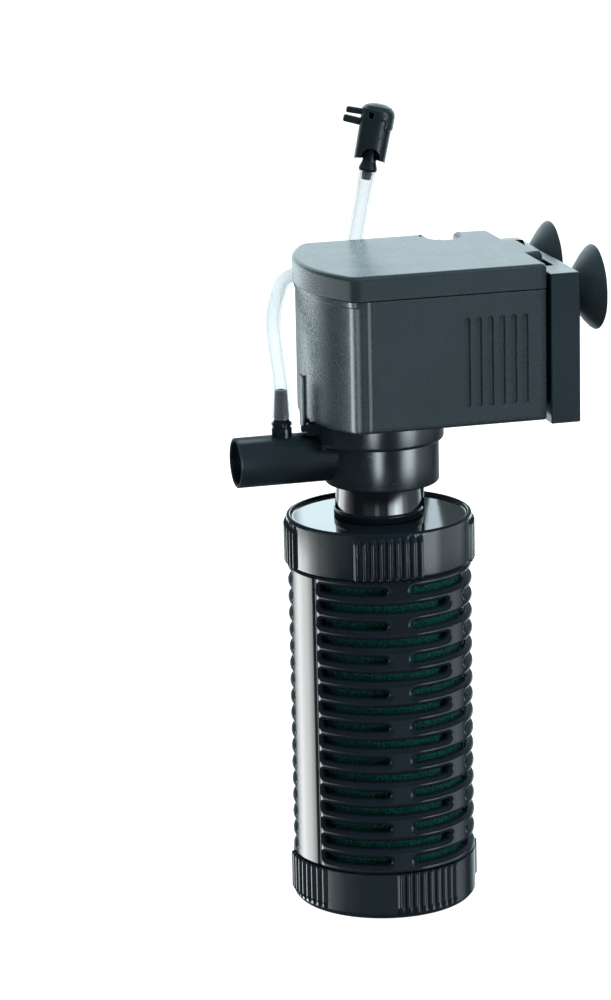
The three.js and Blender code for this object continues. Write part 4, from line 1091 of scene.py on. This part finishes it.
def housing():
    side = HEAD_Y - 0.6
    rail = (RAIL_NECK, RAIL_HEAD, 50.9, 53.0)
    base = head_outline(HEAD_NOSE, side, HEAD_BACK, rail=rail, step=0.9)
    # extra columns for the panel's front edge and for the cooling grooves
    gx = [21 + 3.83 * i for i in range(6)]
    want = sorted(set([round(x, 3) for g in gx for x in (g - 1.5, g - 1.15, g - 0.95, g - 0.8, g - 0.66, g - 0.5, g - 0.25, g, g + 0.25, g + 0.5, g + 0.66, g + 0.8, g + 0.95, g + 1.15, g + 1.5)]
                      + [-12.4, -12.0, -11.6, -11.25, -10.9, -10.6, -10.3, -10.0, -9.6, -9.0, 45.0, 45.6, 46.0, 46.3]))
    out = []
    for i, p in enumerate(base):
        q = base[(i + 1) % len(base)]
        if abs(abs(p[1]) - side) < 1e-6 and abs(abs(q[1]) - side) < 1e-6 and p[1] * q[1] > 0:
            lo, hi = sorted((p[0], q[0]))
            mid = [x for x in want if lo + 1e-4 < x < hi - 1e-4]
            if q[0] < p[0]:
                mid = mid[::-1]
            out.append(tuple(p))
            out += [(x, p[1]) for x in mid]
        else:
            out.append(tuple(p))
    # drop the evenly spaced columns that crowd the wanted ones
    keep = []
    for p in out:
        if abs(abs(p[1]) - side) < 1e-6 and any(abs(p[0] - x) < 0.22 and abs(p[0] - x) > 1e-4 for x in want) and all(abs(p[0] - x) > 1e-4 for x in want) and p[0] < 45.8 and p[0] > -13.5:
            continue
        keep.append(p)
    base = np.array(keep)
    n = len(base)
    z_lo, z_hi = Z_HEAD, Z_LID - 0.2
    za, zb = 169.7, 196.8
    zz = [z_lo, z_lo + 0.12, z_lo + 0.35, z_lo + 0.7, z_lo + 1.1, z_lo + 2.2, 167.5]
    zz += [za + t for t in (-1.6, -1.25, -1.0, -0.85, -0.7, -0.55, -0.4, -0.2, 0.0, 0.4)]
    zz += list(np.linspace(za + 2, zb - 2, 6))
    zz += [zb + t for t in (-0.4, 0.0, 0.2, 0.4, 0.55, 0.7, 0.85, 1.0, 1.25, 1.6)]
    zz += [200.5, 202.6, 203.1, 203.25, 203.4, 203.6, 204.4, 204.75, z_hi]
    zz = np.array(sorted(zz))
    nrm = offset(base, -1.0) - base
    nrm /= np.maximum(np.linalg.norm(nrm, axis=1), 1e-9)[:, None]
    x, y = base[:, 0], base[:, 1]
    on_side = (np.abs(np.abs(y) - side) < 1e-6)
    nose_w = 1 - smoothstep(x, -15.8, -13.0)
    verts, loops = [], []
    for z in zz:
        h = np.zeros(n)
        # side panels
        p = smoothstep(x, -11.7, -9.9) ** 0.8 * (1 - smoothstep(x, 45.7, 46.35) * 0.5)
        p = p * smoothstep(z, z_lo + 0.25, z_lo + 0.9)
        h += on_side * p * 0.6
        # cooling grooves
        for g in gx:
            dz = max(za - z, 0, z - zb)
            d = np.sqrt((x - g) ** 2 + dz ** 2) - 0.78
            h -= on_side * (1 - smoothstep(d, -0.16, 0.16)) * 0.95
            h -= on_side * (1 - smoothstep(d, 0.0, 0.5)) * 0.06
        # thin ledge below the lid round the nose
        h += nose_w * 0.4 * smoothstep(z, 203.15, 203.45)
        # shallow relief low on the nose, beside the latch tab
        rel = np.exp(-((y + 2.6) / 0.5) ** 2) * (x < -15) * (1 - smoothstep(z, 177.0, 179.0))
        h -= rel * 0.7
        # rounded lower edge
        t = np.clip((z - z_lo) / 1.1, 0, 1)
        inset = 1.0 * (1 - math.sqrt(max(0.0, 1 - (1 - t) ** 2)))
        ring = offset(base, inset) + nrm * h[:, None]
        loops.append(list(range(len(verts), len(verts) + n)))
        verts += [(a, b, z) for a, b in ring]
    faces = []
    for a, b in zip(loops[:-1], loops[1:]):
        faces += ring_faces(a[0], b[0], n)
    # inside wall, floor and rotor well
    inner = head_outline(HEAD_NOSE + WALL, side - WALL, HEAD_BACK - WALL, NOSE_R - WALL, CORNER_R - WALL, 0.8, step=2.0)
    ni = len(inner)

    def add_loop(pts, z):
        i0 = len(verts)
        verts.extend([(a, b, z) for a, b in pts])
        return list(range(i0, i0 + len(pts)))

    rim_in = add_loop(inner, z_hi)
    floor_out = add_loop(inner, Z_HEAD + 2.4)
    faces += ring_faces(floor_out[0], rim_in[0], ni)
    faces += fill_between(verts, [loops[-1], rim_in])
    nw = 96
    well_foot = add_loop(circle_pts(12.8, nw), Z_HEAD + 2.4)
    well_mid = add_loop(circle_pts(12.4, nw), Z_HEAD + 3.4)
    well_top = add_loop(circle_pts(12.4, nw), 196.6)
    well_cap = add_loop(circle_pts(12.0, nw), 197.0)
    faces += fill_between(verts, [floor_out, well_foot])
    for a, b in ((well_foot, well_mid), (well_mid, well_top), (well_top, well_cap)):
        faces += ring_faces(a[0], b[0], nw)
    faces.append(well_cap)
    mouth = add_loop(circle_pts(11.6, nw), Z_HEAD)
    m2 = add_loop(circle_pts(11.2, nw), Z_HEAD + 0.4)
    m3 = add_loop(circle_pts(11.2, nw), 191.0)
    m4 = add_loop(circle_pts(3.8, nw), 191.0)
    m5 = add_loop(circle_pts(3.8, nw), 195.0)
    faces += fill_between(verts, [loops[0], mouth])
    for a, b in ((mouth, m2), (m2, m3), (m3, m4), (m4, m5)):
        faces += ring_faces(a[0], b[0], nw)
    faces.append(m5)
    o = obj_from("motor_housing_shell", verts, faces, M["head"], "motor_housing", sharp=38)
    return weighted(o)


housing()


def lid():
    back = HEAD_BACK + 0.4

    def plan(low):
        cx = LID_NOSE + NOSE_R
        fx = cx - math.sqrt((NOSE_R - CORNER_R) ** 2 - (HEAD_Y - CORNER_R) ** 2)
        fy = HEAD_Y - CORNER_R
        a = math.degrees(math.atan2(fy, fx - cx))

        def arc(x, y, rr, a0, a1, n):
            t = np.radians(np.linspace(a0, a1, n + 1))
            return [(x + rr * math.cos(q), y + rr * math.sin(q)) for q in t]

        H = TONGUE_Y
        tip = 52.6
        right = [(tip, 0.0), (tip, H - 1.2)] + arc(tip - 1.0, H - 1.0, 1.0, 8, 82, 4) + [(tip - 1.4, H)]
        if low:
            right += [(50.9, H), (50.9, RAIL_NECK), (back, RAIL_NECK)]
        else:
            right += [(50.9, H), (50.9, H - 0.0001), (back, H)]
        right += [(back, H + 1.2), (back, HEAD_Y - 3.0)]
        right += arc(back - 2.4, HEAD_Y - 2.4, 2.4, 4, 86, 6)
        far = [(x, HEAD_Y) for x in np.arange(44.2, 37.2, -1.2)]
        notch = [(36.9, HEAD_Y)] + arc(36.7, HEAD_Y - 1.0, 1.0, 80, 180, 4) + [(35.7, 28.4)] + arc(30.8, 25.1, 4.9, 0, -180, 14) + [(25.9, 28.4)] + arc(24.9, HEAD_Y - 1.0, 1.0, 0, 100, 4) + [(24.2, HEAD_Y)]
        far2 = [(x, HEAD_Y) for x in np.arange(23.4, fx + 0.5, -1.2)]
        nose = arc(fx, fy, CORNER_R, 90, a, 8) + arc(cx, 0, NOSE_R, a, 360 - a, 52)[1:-1] + arc(fx, -fy, CORNER_R, 360 - a, 270, 8)
        near = [(x, -HEAD_Y) for x in np.arange(fx + 1.2, 44.6, 1.2)]
        corner = arc(back - 2.4, -HEAD_Y + 2.4, 2.4, -86, -4, 6)
        left = [(x, -y) for x, y in reversed(right[1:])]
        left = [p for p in left if not (abs(p[1]) > HEAD_Y - 2.5)]
        return np.array(right + far + notch + far2 + nose + near + corner + left)

    up, lo = plan(False), plan(True)
    assert len(up) == len(lo)
    n = len(up)
    verts, faces, loops = [], [], []

    def add(poly, z):
        loops.append(list(range(len(verts), len(verts) + len(poly))))
        verts.extend([(a, b, z) for a, b in poly])

    add(offset(lo, 0.30), Z_LID)
    add(lo, Z_LID + 0.3)
    add(lo, BR_Z1 + 0.34)
    add(up, BR_Z1 + 0.35)
    R = 1.55
    for k in range(0, 9):
        t = math.pi / 2 * k / 8
        add(offset(up, R * (1 - math.cos(t))), Z_LIDTOP - R + R * math.sin(t))
    add(offset(up, R + 0.5), Z_LIDTOP)
    for a, b in zip(loops[:-1], loops[1:]):
        faces += ring_faces(a[0], b[0], n)
    faces += fill_between(verts, [loops[-1]])
    # hollow underside with a solid boss round the cable notch
    inner = head_outline(LID_NOSE + WALL + 0.4, HEAD_Y - WALL, HEAD_BACK - WALL, NOSE_R - WALL, CORNER_R - WALL, 0.8, step=1.0)
    res = []
    for x, y in inner:
        if y > 15 and 24.1 < x < 37.5:
            d = math.hypot(x - 30.8, max(0.0, 0.0))
            yb = 25.1 - math.sqrt(max(0.0, 6.7 ** 2 - (x - 30.8) ** 2))
            y = min(y, yb)
        res.append((x, y))
    inner = np.array(res)
    ni = len(inner)
    i0 = len(verts)
    verts.extend([(a, b, Z_LID) for a, b in inner])
    i1 = len(verts)
    verts.extend([(a, b, 210.9) for a, b in inner])
    faces += ring_faces(i0, i1, ni)
    faces += fill_between(verts, [list(range(i1, i1 + ni))])
    faces += fill_between(verts, [loops[0], list(range(i0, i0 + ni))])
    o = obj_from("motor_lid_shell", verts, faces, M["head"], "motor_lid", sharp=38, merge=0.004)
    return weighted(o)


lid()


# ------------------------------------------------------------------ bracket
def bracket():
    def plan(points, r=0.6, n=4):
        pts = [(x, y, rr) for x, y, rr in points]
        m = len(pts)
        out = []
        for i in range(m):
            seq = smooth_corners([pts[i - 1], pts[i], pts[(i + 1) % m]], n)
            out += [tuple(p) for p in seq[1:-1]]
        return np.array(out)

    x0, x1, h = BR_X0, BR_X1, HEAD_Y
    ny = RAIL_NECK + 0.3
    # C-shaped section
    c_plan = plan([(x1, -h, 0.7), (x1, h, 0.7), (x0, h, 0.5), (x0, ny, 0.4), (x0 + 1.8, ny, 0.4), (x0 + 1.8, h - 2, 0.4), (x1 - 1.8, h - 2, 0.8),
                   (x1 - 1.8, -h + 2, 0.8), (x0 + 1.8, -h + 2, 0.4), (x0 + 1.8, -ny, 0.4), (x0, -ny, 0.4), (x0, -h, 0.5)])
    n = len(c_plan)
    verts, faces, loops = [], [], []

    def add(poly, z):
        loops.append(list(range(len(verts), len(verts) + len(poly))))
        verts.extend([(a, b, z) for a, b in poly])

    zl = [(0.35, BR_Z0), (0.1, BR_Z0 + 0.12), (0.0, BR_Z0 + 0.4), (0.0, BR_Z0 + 12), (0, BR_Z0 + 24), (0, BR_Z0 + 36), (0.0, BR_Z1 - 1.9)]
    for d, z in zl:
        add(offset(c_plan, d), z)
    for a, b in zip(loops[:-1], loops[1:]):
        faces += ring_faces(a[0], b[0], n)
    faces += fill_between(verts, [loops[0]])
    faces += fill_between(verts, [loops[-1]])
    ch = raw_obj("br_c", verts, faces)
    # top plate with the rail opening
    oy, o1 = OPEN_Y, OPEN_X1
    ox = plan([(x1, -h, 0.7), (x1, h, 0.7), (x0, h, 0.5), (x0, ny, 0.5), (x0 + 1.8, ny, 0.5), (x0 + 1.8, oy, 1.6), (o1, oy, 1.9), (o1, -oy, 1.9), (x0 + 1.8, -oy, 1.6),
               (x0 + 1.8, -ny, 0.5), (x0, -ny, 0.5), (x0, -h, 0.5)], n=6)
    n2 = len(ox)
    verts, faces, loops = [], [], []
    for d, z in [(0, BR_Z1 - 2.0), (0, BR_Z1 - 0.55), (0.05, BR_Z1 - 0.3), (0.18, BR_Z1 - 0.1), (0.4, BR_Z1), (0.8, BR_Z1)]:
        add(offset(ox, d), z)
    for a, b in zip(loops[:-1], loops[1:]):
        faces += ring_faces(a[0], b[0], n2)
    faces += fill_between(verts, [loops[0]])
    faces += fill_between(verts, [loops[-1]])
    top = raw_obj("br_t", verts, faces)
    ops = [("UNION", top)]
    for s in (-1, 1):
        ops.append(("DIFFERENCE", lathe_raw("h", [(0, x1 - 4), (3.1, x1 - 4), (3.1, x1 + 2), (0, x1 + 2)], 48, axis_x(s * CUP_Y, CUP_Z))))
    o = boolean(ch, ops, "bracket_channel", M["satin"], "bracket", sharp=32)
    return weighted(o)


bracket()


# ------------------------------------------------------------------ suction cups: soft rubber bells
def cup(name, node, y):
    prof = smooth_corners([(0, 53.6), (3.9, 53.6, 0.6), (4.3, 54.9, 0.6), (3.4, 56.2, 0.4), (2.7, 56.4, 0.3), (2.7, 58.75, 0.3), (5.3, 58.8, 0.5), (6.3, 59.5, 0.8), (8.3, 61.2, 2.0), (11.1, 63.4, 2.0),
                           (13.05, 65.3, 1.0), (CUP_R, 66.12, 0.12), (CUP_R - 0.1, CUP_X, 0.06), (13.0, CUP_X, 0.1), (12.3, 65.5, 0.8), (9.6, 63.9, 2.0), (6, 62.75, 2.0), (0, 62.2)], 7)
    v, f = revolve(prof, 128, closed=False)
    v = np.array(v)
    # rubber never sits perfectly true: a slow wave round the lip, under a tenth of a millimetre
    th = np.arctan2(v[:, 1], v[:, 0])
    r = np.hypot(v[:, 0], v[:, 1])
    w = smoothstep(r, 8, 13.6)
    v[:, 2] -= w * (0.09 + 0.07 * np.sin(3 * th + 1.1) + 0.03 * np.sin(7 * th))
    return obj_from(name, v, f, M["rubber"], node, xf=axis_x(y, CUP_Z), sharp=55)


cup("suction_cup_near_bell", "suction_cup_near", -CUP_Y)
cup("suction_cup_far_bell", "suction_cup_far", CUP_Y)

# carried-over CAD nodes: round their edges a little
for node in ("stator_core", "coil_bobbin", "coil_winding", "potting_resin", "sponge_core", "impeller", "rotor_magnet"):
    md = NODES[node].modifiers.new("edge", "BEVEL")
    md.width = 0.00022
    md.segments = 2
    md.limit_method = "ANGLE"
    md.angle_limit = math.radians(50)

# ------------------------------------------------------------------ stage: floor, light, camera
floor_mesh = bpy.data.meshes.new("floor")
s = 6.0
floor_mesh.from_pydata([(-s, -s, -0.0002), (s, -s, -0.0002), (s, s, -0.0002), (-s, s, -0.0002)], [], [(0, 1, 2, 3)])
floor = bpy.data.objects.new("floor", floor_mesh)
bpy.context.scene.collection.objects.link(floor)
m, nt, b, out = new_mat("floor_pale")
nt.links.new(ramp(nt, noise_node(nt, coord(nt), 3), [(0.3, (0.50, 0.51, 0.515)), (0.7, (0.53, 0.535, 0.54))]), b.inputs["Base Color"])
b.inputs["Roughness"].default_value = 0.9
b.inputs["Specular IOR Level"].default_value = 0.0
b.inputs["Emission Color"].default_value = (1, 1, 1, 1)
lpf = nt.nodes.new("ShaderNodeLightPath")
nt.links.new(mapr(nt, lpf.outputs["Is Camera Ray"], 0, 1, 0.15, 1.05), b.inputs["Emission Strength"])
floor_mesh.materials.append(m)
floor.visible_glossy = False

world = bpy.data.worlds.new("studio")
bpy.context.scene.world = world
world.use_nodes = True
wn = world.node_tree
wn.nodes.clear()
wout = wn.nodes.new("ShaderNodeOutputWorld")
bg_cam = wn.nodes.new("ShaderNodeBackground")
bg_cam.inputs["Color"].default_value = (1, 1, 1, 1)
bg_cam.inputs["Strength"].default_value = 1.0
bg_env = wn.nodes.new("ShaderNodeBackground")
tc = wn.nodes.new("ShaderNodeTexCoord")
dot = wn.nodes.new("ShaderNodeVectorMath")
dot.operation = "DOT_PRODUCT"
dot.inputs[1].default_value = (0.25, 0.968, 0.0)
wn.links.new(tc.outputs["Generated"], dot.inputs[0])
env = wn.nodes.new("ShaderNodeValToRGB")
env.color_ramp.elements[0].position = 0.70
env.color_ramp.elements[0].color = (0.085, 0.110, 0.122, 1)
env.color_ramp.elements[1].position = 0.90
env.color_ramp.elements[1].color = (0.16, 0.20, 0.22, 1)
mr = wn.nodes.new("ShaderNodeMapRange")
mr.inputs["From Min"].default_value = -1
mr.inputs["From Max"].default_value = 1
wn.links.new(dot.outputs["Value"], mr.inputs["Value"])
wn.links.new(mr.outputs["Result"], env.inputs["Fac"])
# the backdrop starts at the table: nothing bright below the horizon
sep = wn.nodes.new("ShaderNodeSeparateXYZ")
wn.links.new(tc.outputs["Generated"], sep.inputs[0])
hz = wn.nodes.new("ShaderNodeMapRange")
hz.inputs["From Min"].default_value = -0.10
hz.inputs["From Max"].default_value = 0.02
wn.links.new(sep.outputs["Z"], hz.inputs["Value"])
mixb = wn.nodes.new("ShaderNodeMix")
mixb.data_type = "RGBA"
mixb.inputs["A"].default_value = (0.085, 0.110, 0.122, 1)
wn.links.new(hz.outputs["Result"], mixb.inputs["Factor"])
wn.links.new(env.outputs["Color"], mixb.inputs["B"])
wn.links.new(mixb.outputs["Result"], bg_env.inputs["Color"])
bg_env.inputs["Strength"].default_value = 1.0
lp = wn.nodes.new("ShaderNodeLightPath")
mixw = wn.nodes.new("ShaderNodeMixShader")
wn.links.new(lp.outputs["Is Camera Ray"], mixw.inputs[0])
wn.links.new(bg_env.outputs[0], mixw.inputs[1])
wn.links.new(bg_cam.outputs[0], mixw.inputs[2])
wn.links.new(mixw.outputs[0], wout.inputs["Surface"])


def softbox(name, az, el, dist, w, h, power, colour=(1, 1, 1), target=(0.0, 0.0, 0.11)):
    """Area light at a compass direction (degrees from +X) and height angle, facing the target; diffuse only."""
    L = bpy.data.lights.new(name, "AREA")
    L.shape = "RECTANGLE"
    L.size, L.size_y = w, h
    L.energy = power
    L.color = colour
    o = bpy.data.objects.new(name, L)
    bpy.context.scene.collection.objects.link(o)
    a, e = math.radians(az), math.radians(el)
    d = Vector((math.cos(a) * math.cos(e), math.sin(a) * math.cos(e), math.sin(e)))
    t = Vector(target)
    o.location = t + d * dist
    o.rotation_euler = (-d).to_track_quat("-Z", "Y").to_euler()
    o.visible_camera = False
    o.visible_glossy = False
    return o


def linked(o, names):
    """Limits a light or a card to the named pieces."""
    c = bpy.data.collections.new(o.name + "_receivers")
    for n in names:
        c.objects.link(bpy.data.objects[n])
    o.light_linking.receiver_collection = c


def glow_mesh(name, verts, faces, glow, colour, strength, only):
    """Reflector that adds light to the reflections of the named pieces and hides nothing behind it."""
    me = bpy.data.meshes.new(name)
    me.from_pydata(verts, [], faces)
    at = me.attributes.new("glow", "FLOAT", "POINT")
    at.data.foreach_set("value", [float(g) for g in glow])
    m = bpy.data.materials.new(name)
    m.use_nodes = True
    nt = m.node_tree
    nt.nodes.clear()
    out = nt.nodes.new("ShaderNodeOutputMaterial")
    em = nt.nodes.new("ShaderNodeEmission")
    em.inputs["Color"].default_value = (*colour, 1)
    an = nt.nodes.new("ShaderNodeAttribute")
    an.attribute_name = "glow"
    nt.links.new(math_node(nt, "MULTIPLY", an.outputs["Fac"], strength), em.inputs["Strength"])
    tr = nt.nodes.new("ShaderNodeBsdfTransparent")
    add = nt.nodes.new("ShaderNodeAddShader")
    nt.links.new(tr.outputs[0], add.inputs[0])
    nt.links.new(em.outputs[0], add.inputs[1])
    nt.links.new(add.outputs[0], out.inputs["Surface"])
    m.cycles.emission_sampling = "NONE"
    me.materials.append(m)
    o = bpy.data.objects.new(name, me)
    bpy.context.scene.collection.objects.link(o)
    o.visible_camera = o.visible_diffuse = o.visible_shadow = o.visible_transmission = False
    linked(o, only)
    return o


CARDS = []


def card(name, stops, z0, z1, only, strength=1.0, colour=(0.88, 0.97, 1.0), zedge=25.0):
    """Upright cylinder-section reflector. stops: (azimuth in degrees, brightness), rising in azimuth."""
    na, nz = 60, 12
    R = 590.0 + 1.5 * len(CARDS)        # no two cards share a surface
    CARDS.append(name)
    az0, az1 = stops[0][0], stops[-1][0]
    azs = np.linspace(az0, az1, na + 1)
    lev = np.interp(azs, [q[0] for q in stops], [q[1] for q in stops])
    zs = np.linspace(z0, z1, nz + 1)
    verts, faces, glow = [], [], []
    for i, az_ in enumerate(azs):
        a = math.radians(az_)
        for z in zs:
            verts.append((R * math.cos(a) * MM, R * math.sin(a) * MM, z * MM))
            glow.append(lev[i] * float(smoothstep(min(z - z0, z1 - z), 0, zedge)))
    for i in range(na):
        for j in range(nz):
            p = i * (nz + 1) + j
            faces.append((p, p + 1, p + nz + 2, p + nz + 1))
    return glow_mesh(name, verts, faces, glow, colour, strength, only)


def quad_card(name, corners, only, strength, colour):
    """Small four-sided reflector at the given corners."""
    k = 8
    c = [np.array(q, float) * MM for q in corners]
    verts, faces, glow = [], [], []
    for i in range(k + 1):
        for j in range(k + 1):
            u, v = i / k, j / k
            verts.append(tuple((c[0] * (1 - u) + c[1] * u) * (1 - v) + (c[3] * (1 - u) + c[2] * u) * v))
            glow.append(float(smoothstep(min(u, 1 - u), -0.01, 0.04)))
    for i in range(k):
        for j in range(k):
            p = i * (k + 1) + j
            faces.append((p, p + 1, p + k + 2, p + k + 1))
    return glow_mesh(name, verts, faces, glow, colour, strength, only)


CAN = ["strainer_shell", "bottom_cap_shell"]
TOP = ["top_cap_shell"]
NECK = ["intake_neck_tube"]
COVER = ["pump_cover_shell", "housing_collar_ring"]
HEAD = ["motor_housing_shell", "nose_latch_tab"]
LID = ["motor_lid_shell"]
SMALL = ["air_nipple_barb", "cover_catch", "air_valve_hood", "air_valve_barb", "cable_grommet_sleeve", "power_cable_stub"]
BACK = ["bracket_channel", "suction_cup_near_bell", "suction_cup_far_bell"]
HOSE = ["air_hose_clear"]

key = softbox("key_overhead", -60, 60, 1.2, 1.0, 1.0, 30, (0.90, 0.98, 1.0))
softbox("fill_left", 170, 30, 1.2, 0.6, 0.8, 5, (0.90, 0.98, 1.0))
foam = softbox("foam_light", -48, 14, 0.9, 0.25, 0.5, 3.2, (0.80, 1.0, 0.98))
linked(foam, ["sponge_foam_cylinder"])
SKY = (0.775, 0.94, 1.0)
WARM = (0.96, 1.0, 0.985)
COOL = (0.84, 0.96, 1.0)
# pale backdrop behind the object
card("card_back", [(15, 0), (45, 1), (105, 1), (135, 0)], -420, 900, LID + NECK + SMALL + BACK + HOSE, 1.75, SKY, 200)
card("card_back_head", [(15, 0), (45, 1), (100, 1), (125, 0)], -420, 900, HEAD, 0.6, SKY, 200)
card("card_back_cover", [(15, 0), (45, 1), (100, 1), (125, 0)], -420, 700, COVER, 0.3, SKY, 200)
card("card_back_low", [(30, 0), (50, 1), (95, 1), (112, 0)], -260, 60, TOP, 2.0, SKY, 30)
card("card_back_can", [(30, 0), (50, 1), (95, 1), (112, 0)], -260, 60, CAN, 0.85, SKY, 30)
card("card_bottom_left", [(125, 0), (137, 1), (163, 1), (178, 0)], -300, -110, ["bottom_cap_shell"], 1.4, COOL, 20)
card("card_bottom_right", [(-75, 0), (-60, 1), (-25, 1), (-10, 0)], -300, -110, ["bottom_cap_shell"], 0.8, COOL, 20)
card("card_sky", [(10, 0), (40, 1), (115, 1), (140, 0)], 700, 1900, COVER, 2.0, SKY, 120)
# the same backdrop as the sunk plate of the top cap sees it, broken by two dark gaps
quad_card("card_plate_left", [(5.0, 140, 148), (46, 140, 148), (46, 140, 188), (9.5, 140, 188)], TOP, 3.3, SKY)
quad_card("card_plate_right", [(60.3, 140, 156), (60.9, 140, 156), (65.2, 140, 178), (56.2, 140, 178)], TOP, 2.0, SKY)
# left strip
card("card_left_canister", [(112, 0), (122, 3), (134, 8), (152, 8), (163, 3.6), (175, 1.3), (192, 0.5), (205, 0)], -260, -20, CAN + TOP, 1.0, WARM, 14)
card("card_left_neck", [(118, 0), (128, 9), (148, 9), (158, 3.2), (172, 0.9), (190, 0)], -60, 140, NECK, 0.8, WARM, 25)
card("card_left_nose", [(98, 0), (108, 1.0), (116, 2.6), (128, 3.8), (138, 1.3), (146, 0.1), (150, 0)], -320, 420, HEAD, 1.0, (0.88, 1.0, 1.0), 120)
card("card_left_corner", [(175, 0), (180, 13), (198, 14), (206, 1.5), (214, 0)], -320, 420, HEAD, 1.0, (0.86, 0.97, 1.0), 120)
card("card_left_lid", [(96, 0), (110, 1.6), (140, 1.6), (166, 1.4), (190, 1.4), (204, 0)], -220, 320, LID, 1.0, (0.86, 0.98, 1.0), 120)
# front strip, mostly on the pump cover
card("card_front", [(-123, 0), (-118, 11), (-112, 18), (-107, 9), (-102, 0)], -60, 420, COVER, 1.0, COOL, 40)
card("card_front_neck", [(-118, 0), (-113, 1), (-106, 1), (-103, 0)], -60, 140, NECK, 1.6, COOL, 25)
card("card_front_edge", [(-138, 0), (-132, 1), (-116, 1), (-110, 0)], -200, 420, HEAD, 4.5, COOL, 100)
# right strip
card("card_right_cover", [(-69, 0), (-62, 9), (-52, 15), (-42, 11), (-34, 2), (-10, 0.8), (20, 0)], -60, 420, COVER, 1.0, COOL, 40)
card("card_right_neck", [(-66, 0), (-61, 11), (-46, 14), (-38, 4), (-20, 1.1), (20, 0.4), (40, 0)], -60, 140, NECK, 0.8, COOL, 25)
card("card_right_neck_streak", [(-84, 0), (-76, 8), (-66, 14), (-57, 10), (-48, 3), (-38, 0)], -60, 140, NECK, 1.0, COOL, 25)
card("card_neck_base", [(-150, 0), (-138, 1), (-92, 1), (-80, 0)], -60, 140, NECK, 0.35, COOL, 25)
card("card_cap_soft", [(150, 0), (162, 0.8), (178, 0.7), (195, 0.4), (211, 0.35), (228, 0)], -60, 60, TOP, 1.0, COOL, 25)
card("card_canister_soft", [(165, 0), (174, 1), (186, 0.55), (205, 0.2), (225, 0)], -260, -20, CAN, 1.3, COOL, 40)
card("card_right_cap", [(-72, 0), (-60, 4.5), (-36, 4.5), (-24, 1.5), (10, 1.0), (30, 0)], -60, 60, TOP, 1.0, COOL, 16)
card("card_right_canister", [(-62, 0), (-52, 2.2), (-40, 2.2), (-30, 1.2), (0, 1.0), (20, 0)], -260, -30, CAN, 1.0, COOL, 16)
card("card_right_small", [(-70, 0), (-60, 4), (-44, 4), (-34, 0)], -200, 420, SMALL, 1.0, COOL, 40)
# faint overall front light on the lower half and on the side panel
card("card_front_soft", [(-170, 0), (-150, 1), (-40, 1), (-20, 0)], -300, -60, CAN, 0.26, (0.60, 0.85, 1.0), 60)
card("card_panel", [(-92, 0), (-84, 1), (-68, 1), (-56, 0)], -200, 330, HEAD + LID, 0.62, (0.72, 0.93, 1.0), 120)
card("card_panel_back", [(-98, 0), (-84, 1), (-50, 1), (-30, 0)], -200, 330, BACK, 0.40, (0.70, 0.95, 1.15), 120)

cam_data = bpy.data.cameras.new("camera")
cam = bpy.data.objects.new("camera", cam_data)
bpy.context.scene.collection.objects.link(cam)
K = 30.0 / 29.0
az, el, roll = math.radians(-14.917494683489085), math.radians(14.428502584633629), math.radians(-1.2457009453256929)
dist, tx, tz = 1263.9083323382533 * K, -22.81226777629268 * K, 129.16997081390926 * K
back = np.array([math.sin(az) * math.cos(el), -math.cos(az) * math.cos(el), math.sin(el)])
right = np.array([math.cos(az), math.sin(az), 0.0])
up = np.cross(right, -back)
r2 = right * math.cos(roll) + up * math.sin(roll)
u2 = -right * math.sin(roll) + up * math.cos(roll)
pos = right * tx + np.array([0, 0, tz]) + back * dist
mw = Matrix.Identity(4)
for i in range(3):
    mw[i][0], mw[i][1], mw[i][2], mw[i][3] = r2[i], u2[i], back[i], pos[i] * MM
cam.matrix_world = mw
cam_data.sensor_width = 36.0
cam_data.lens = 4043.617416109058 / 1000.0 * 36.0
cam_data.clip_start = 0.05
cam_data.clip_end = 20.0
bpy.context.scene.camera = cam
bpy.context.scene.view_settings.view_transform = "Standard"
bpy.context.scene.view_settings.look = "None"
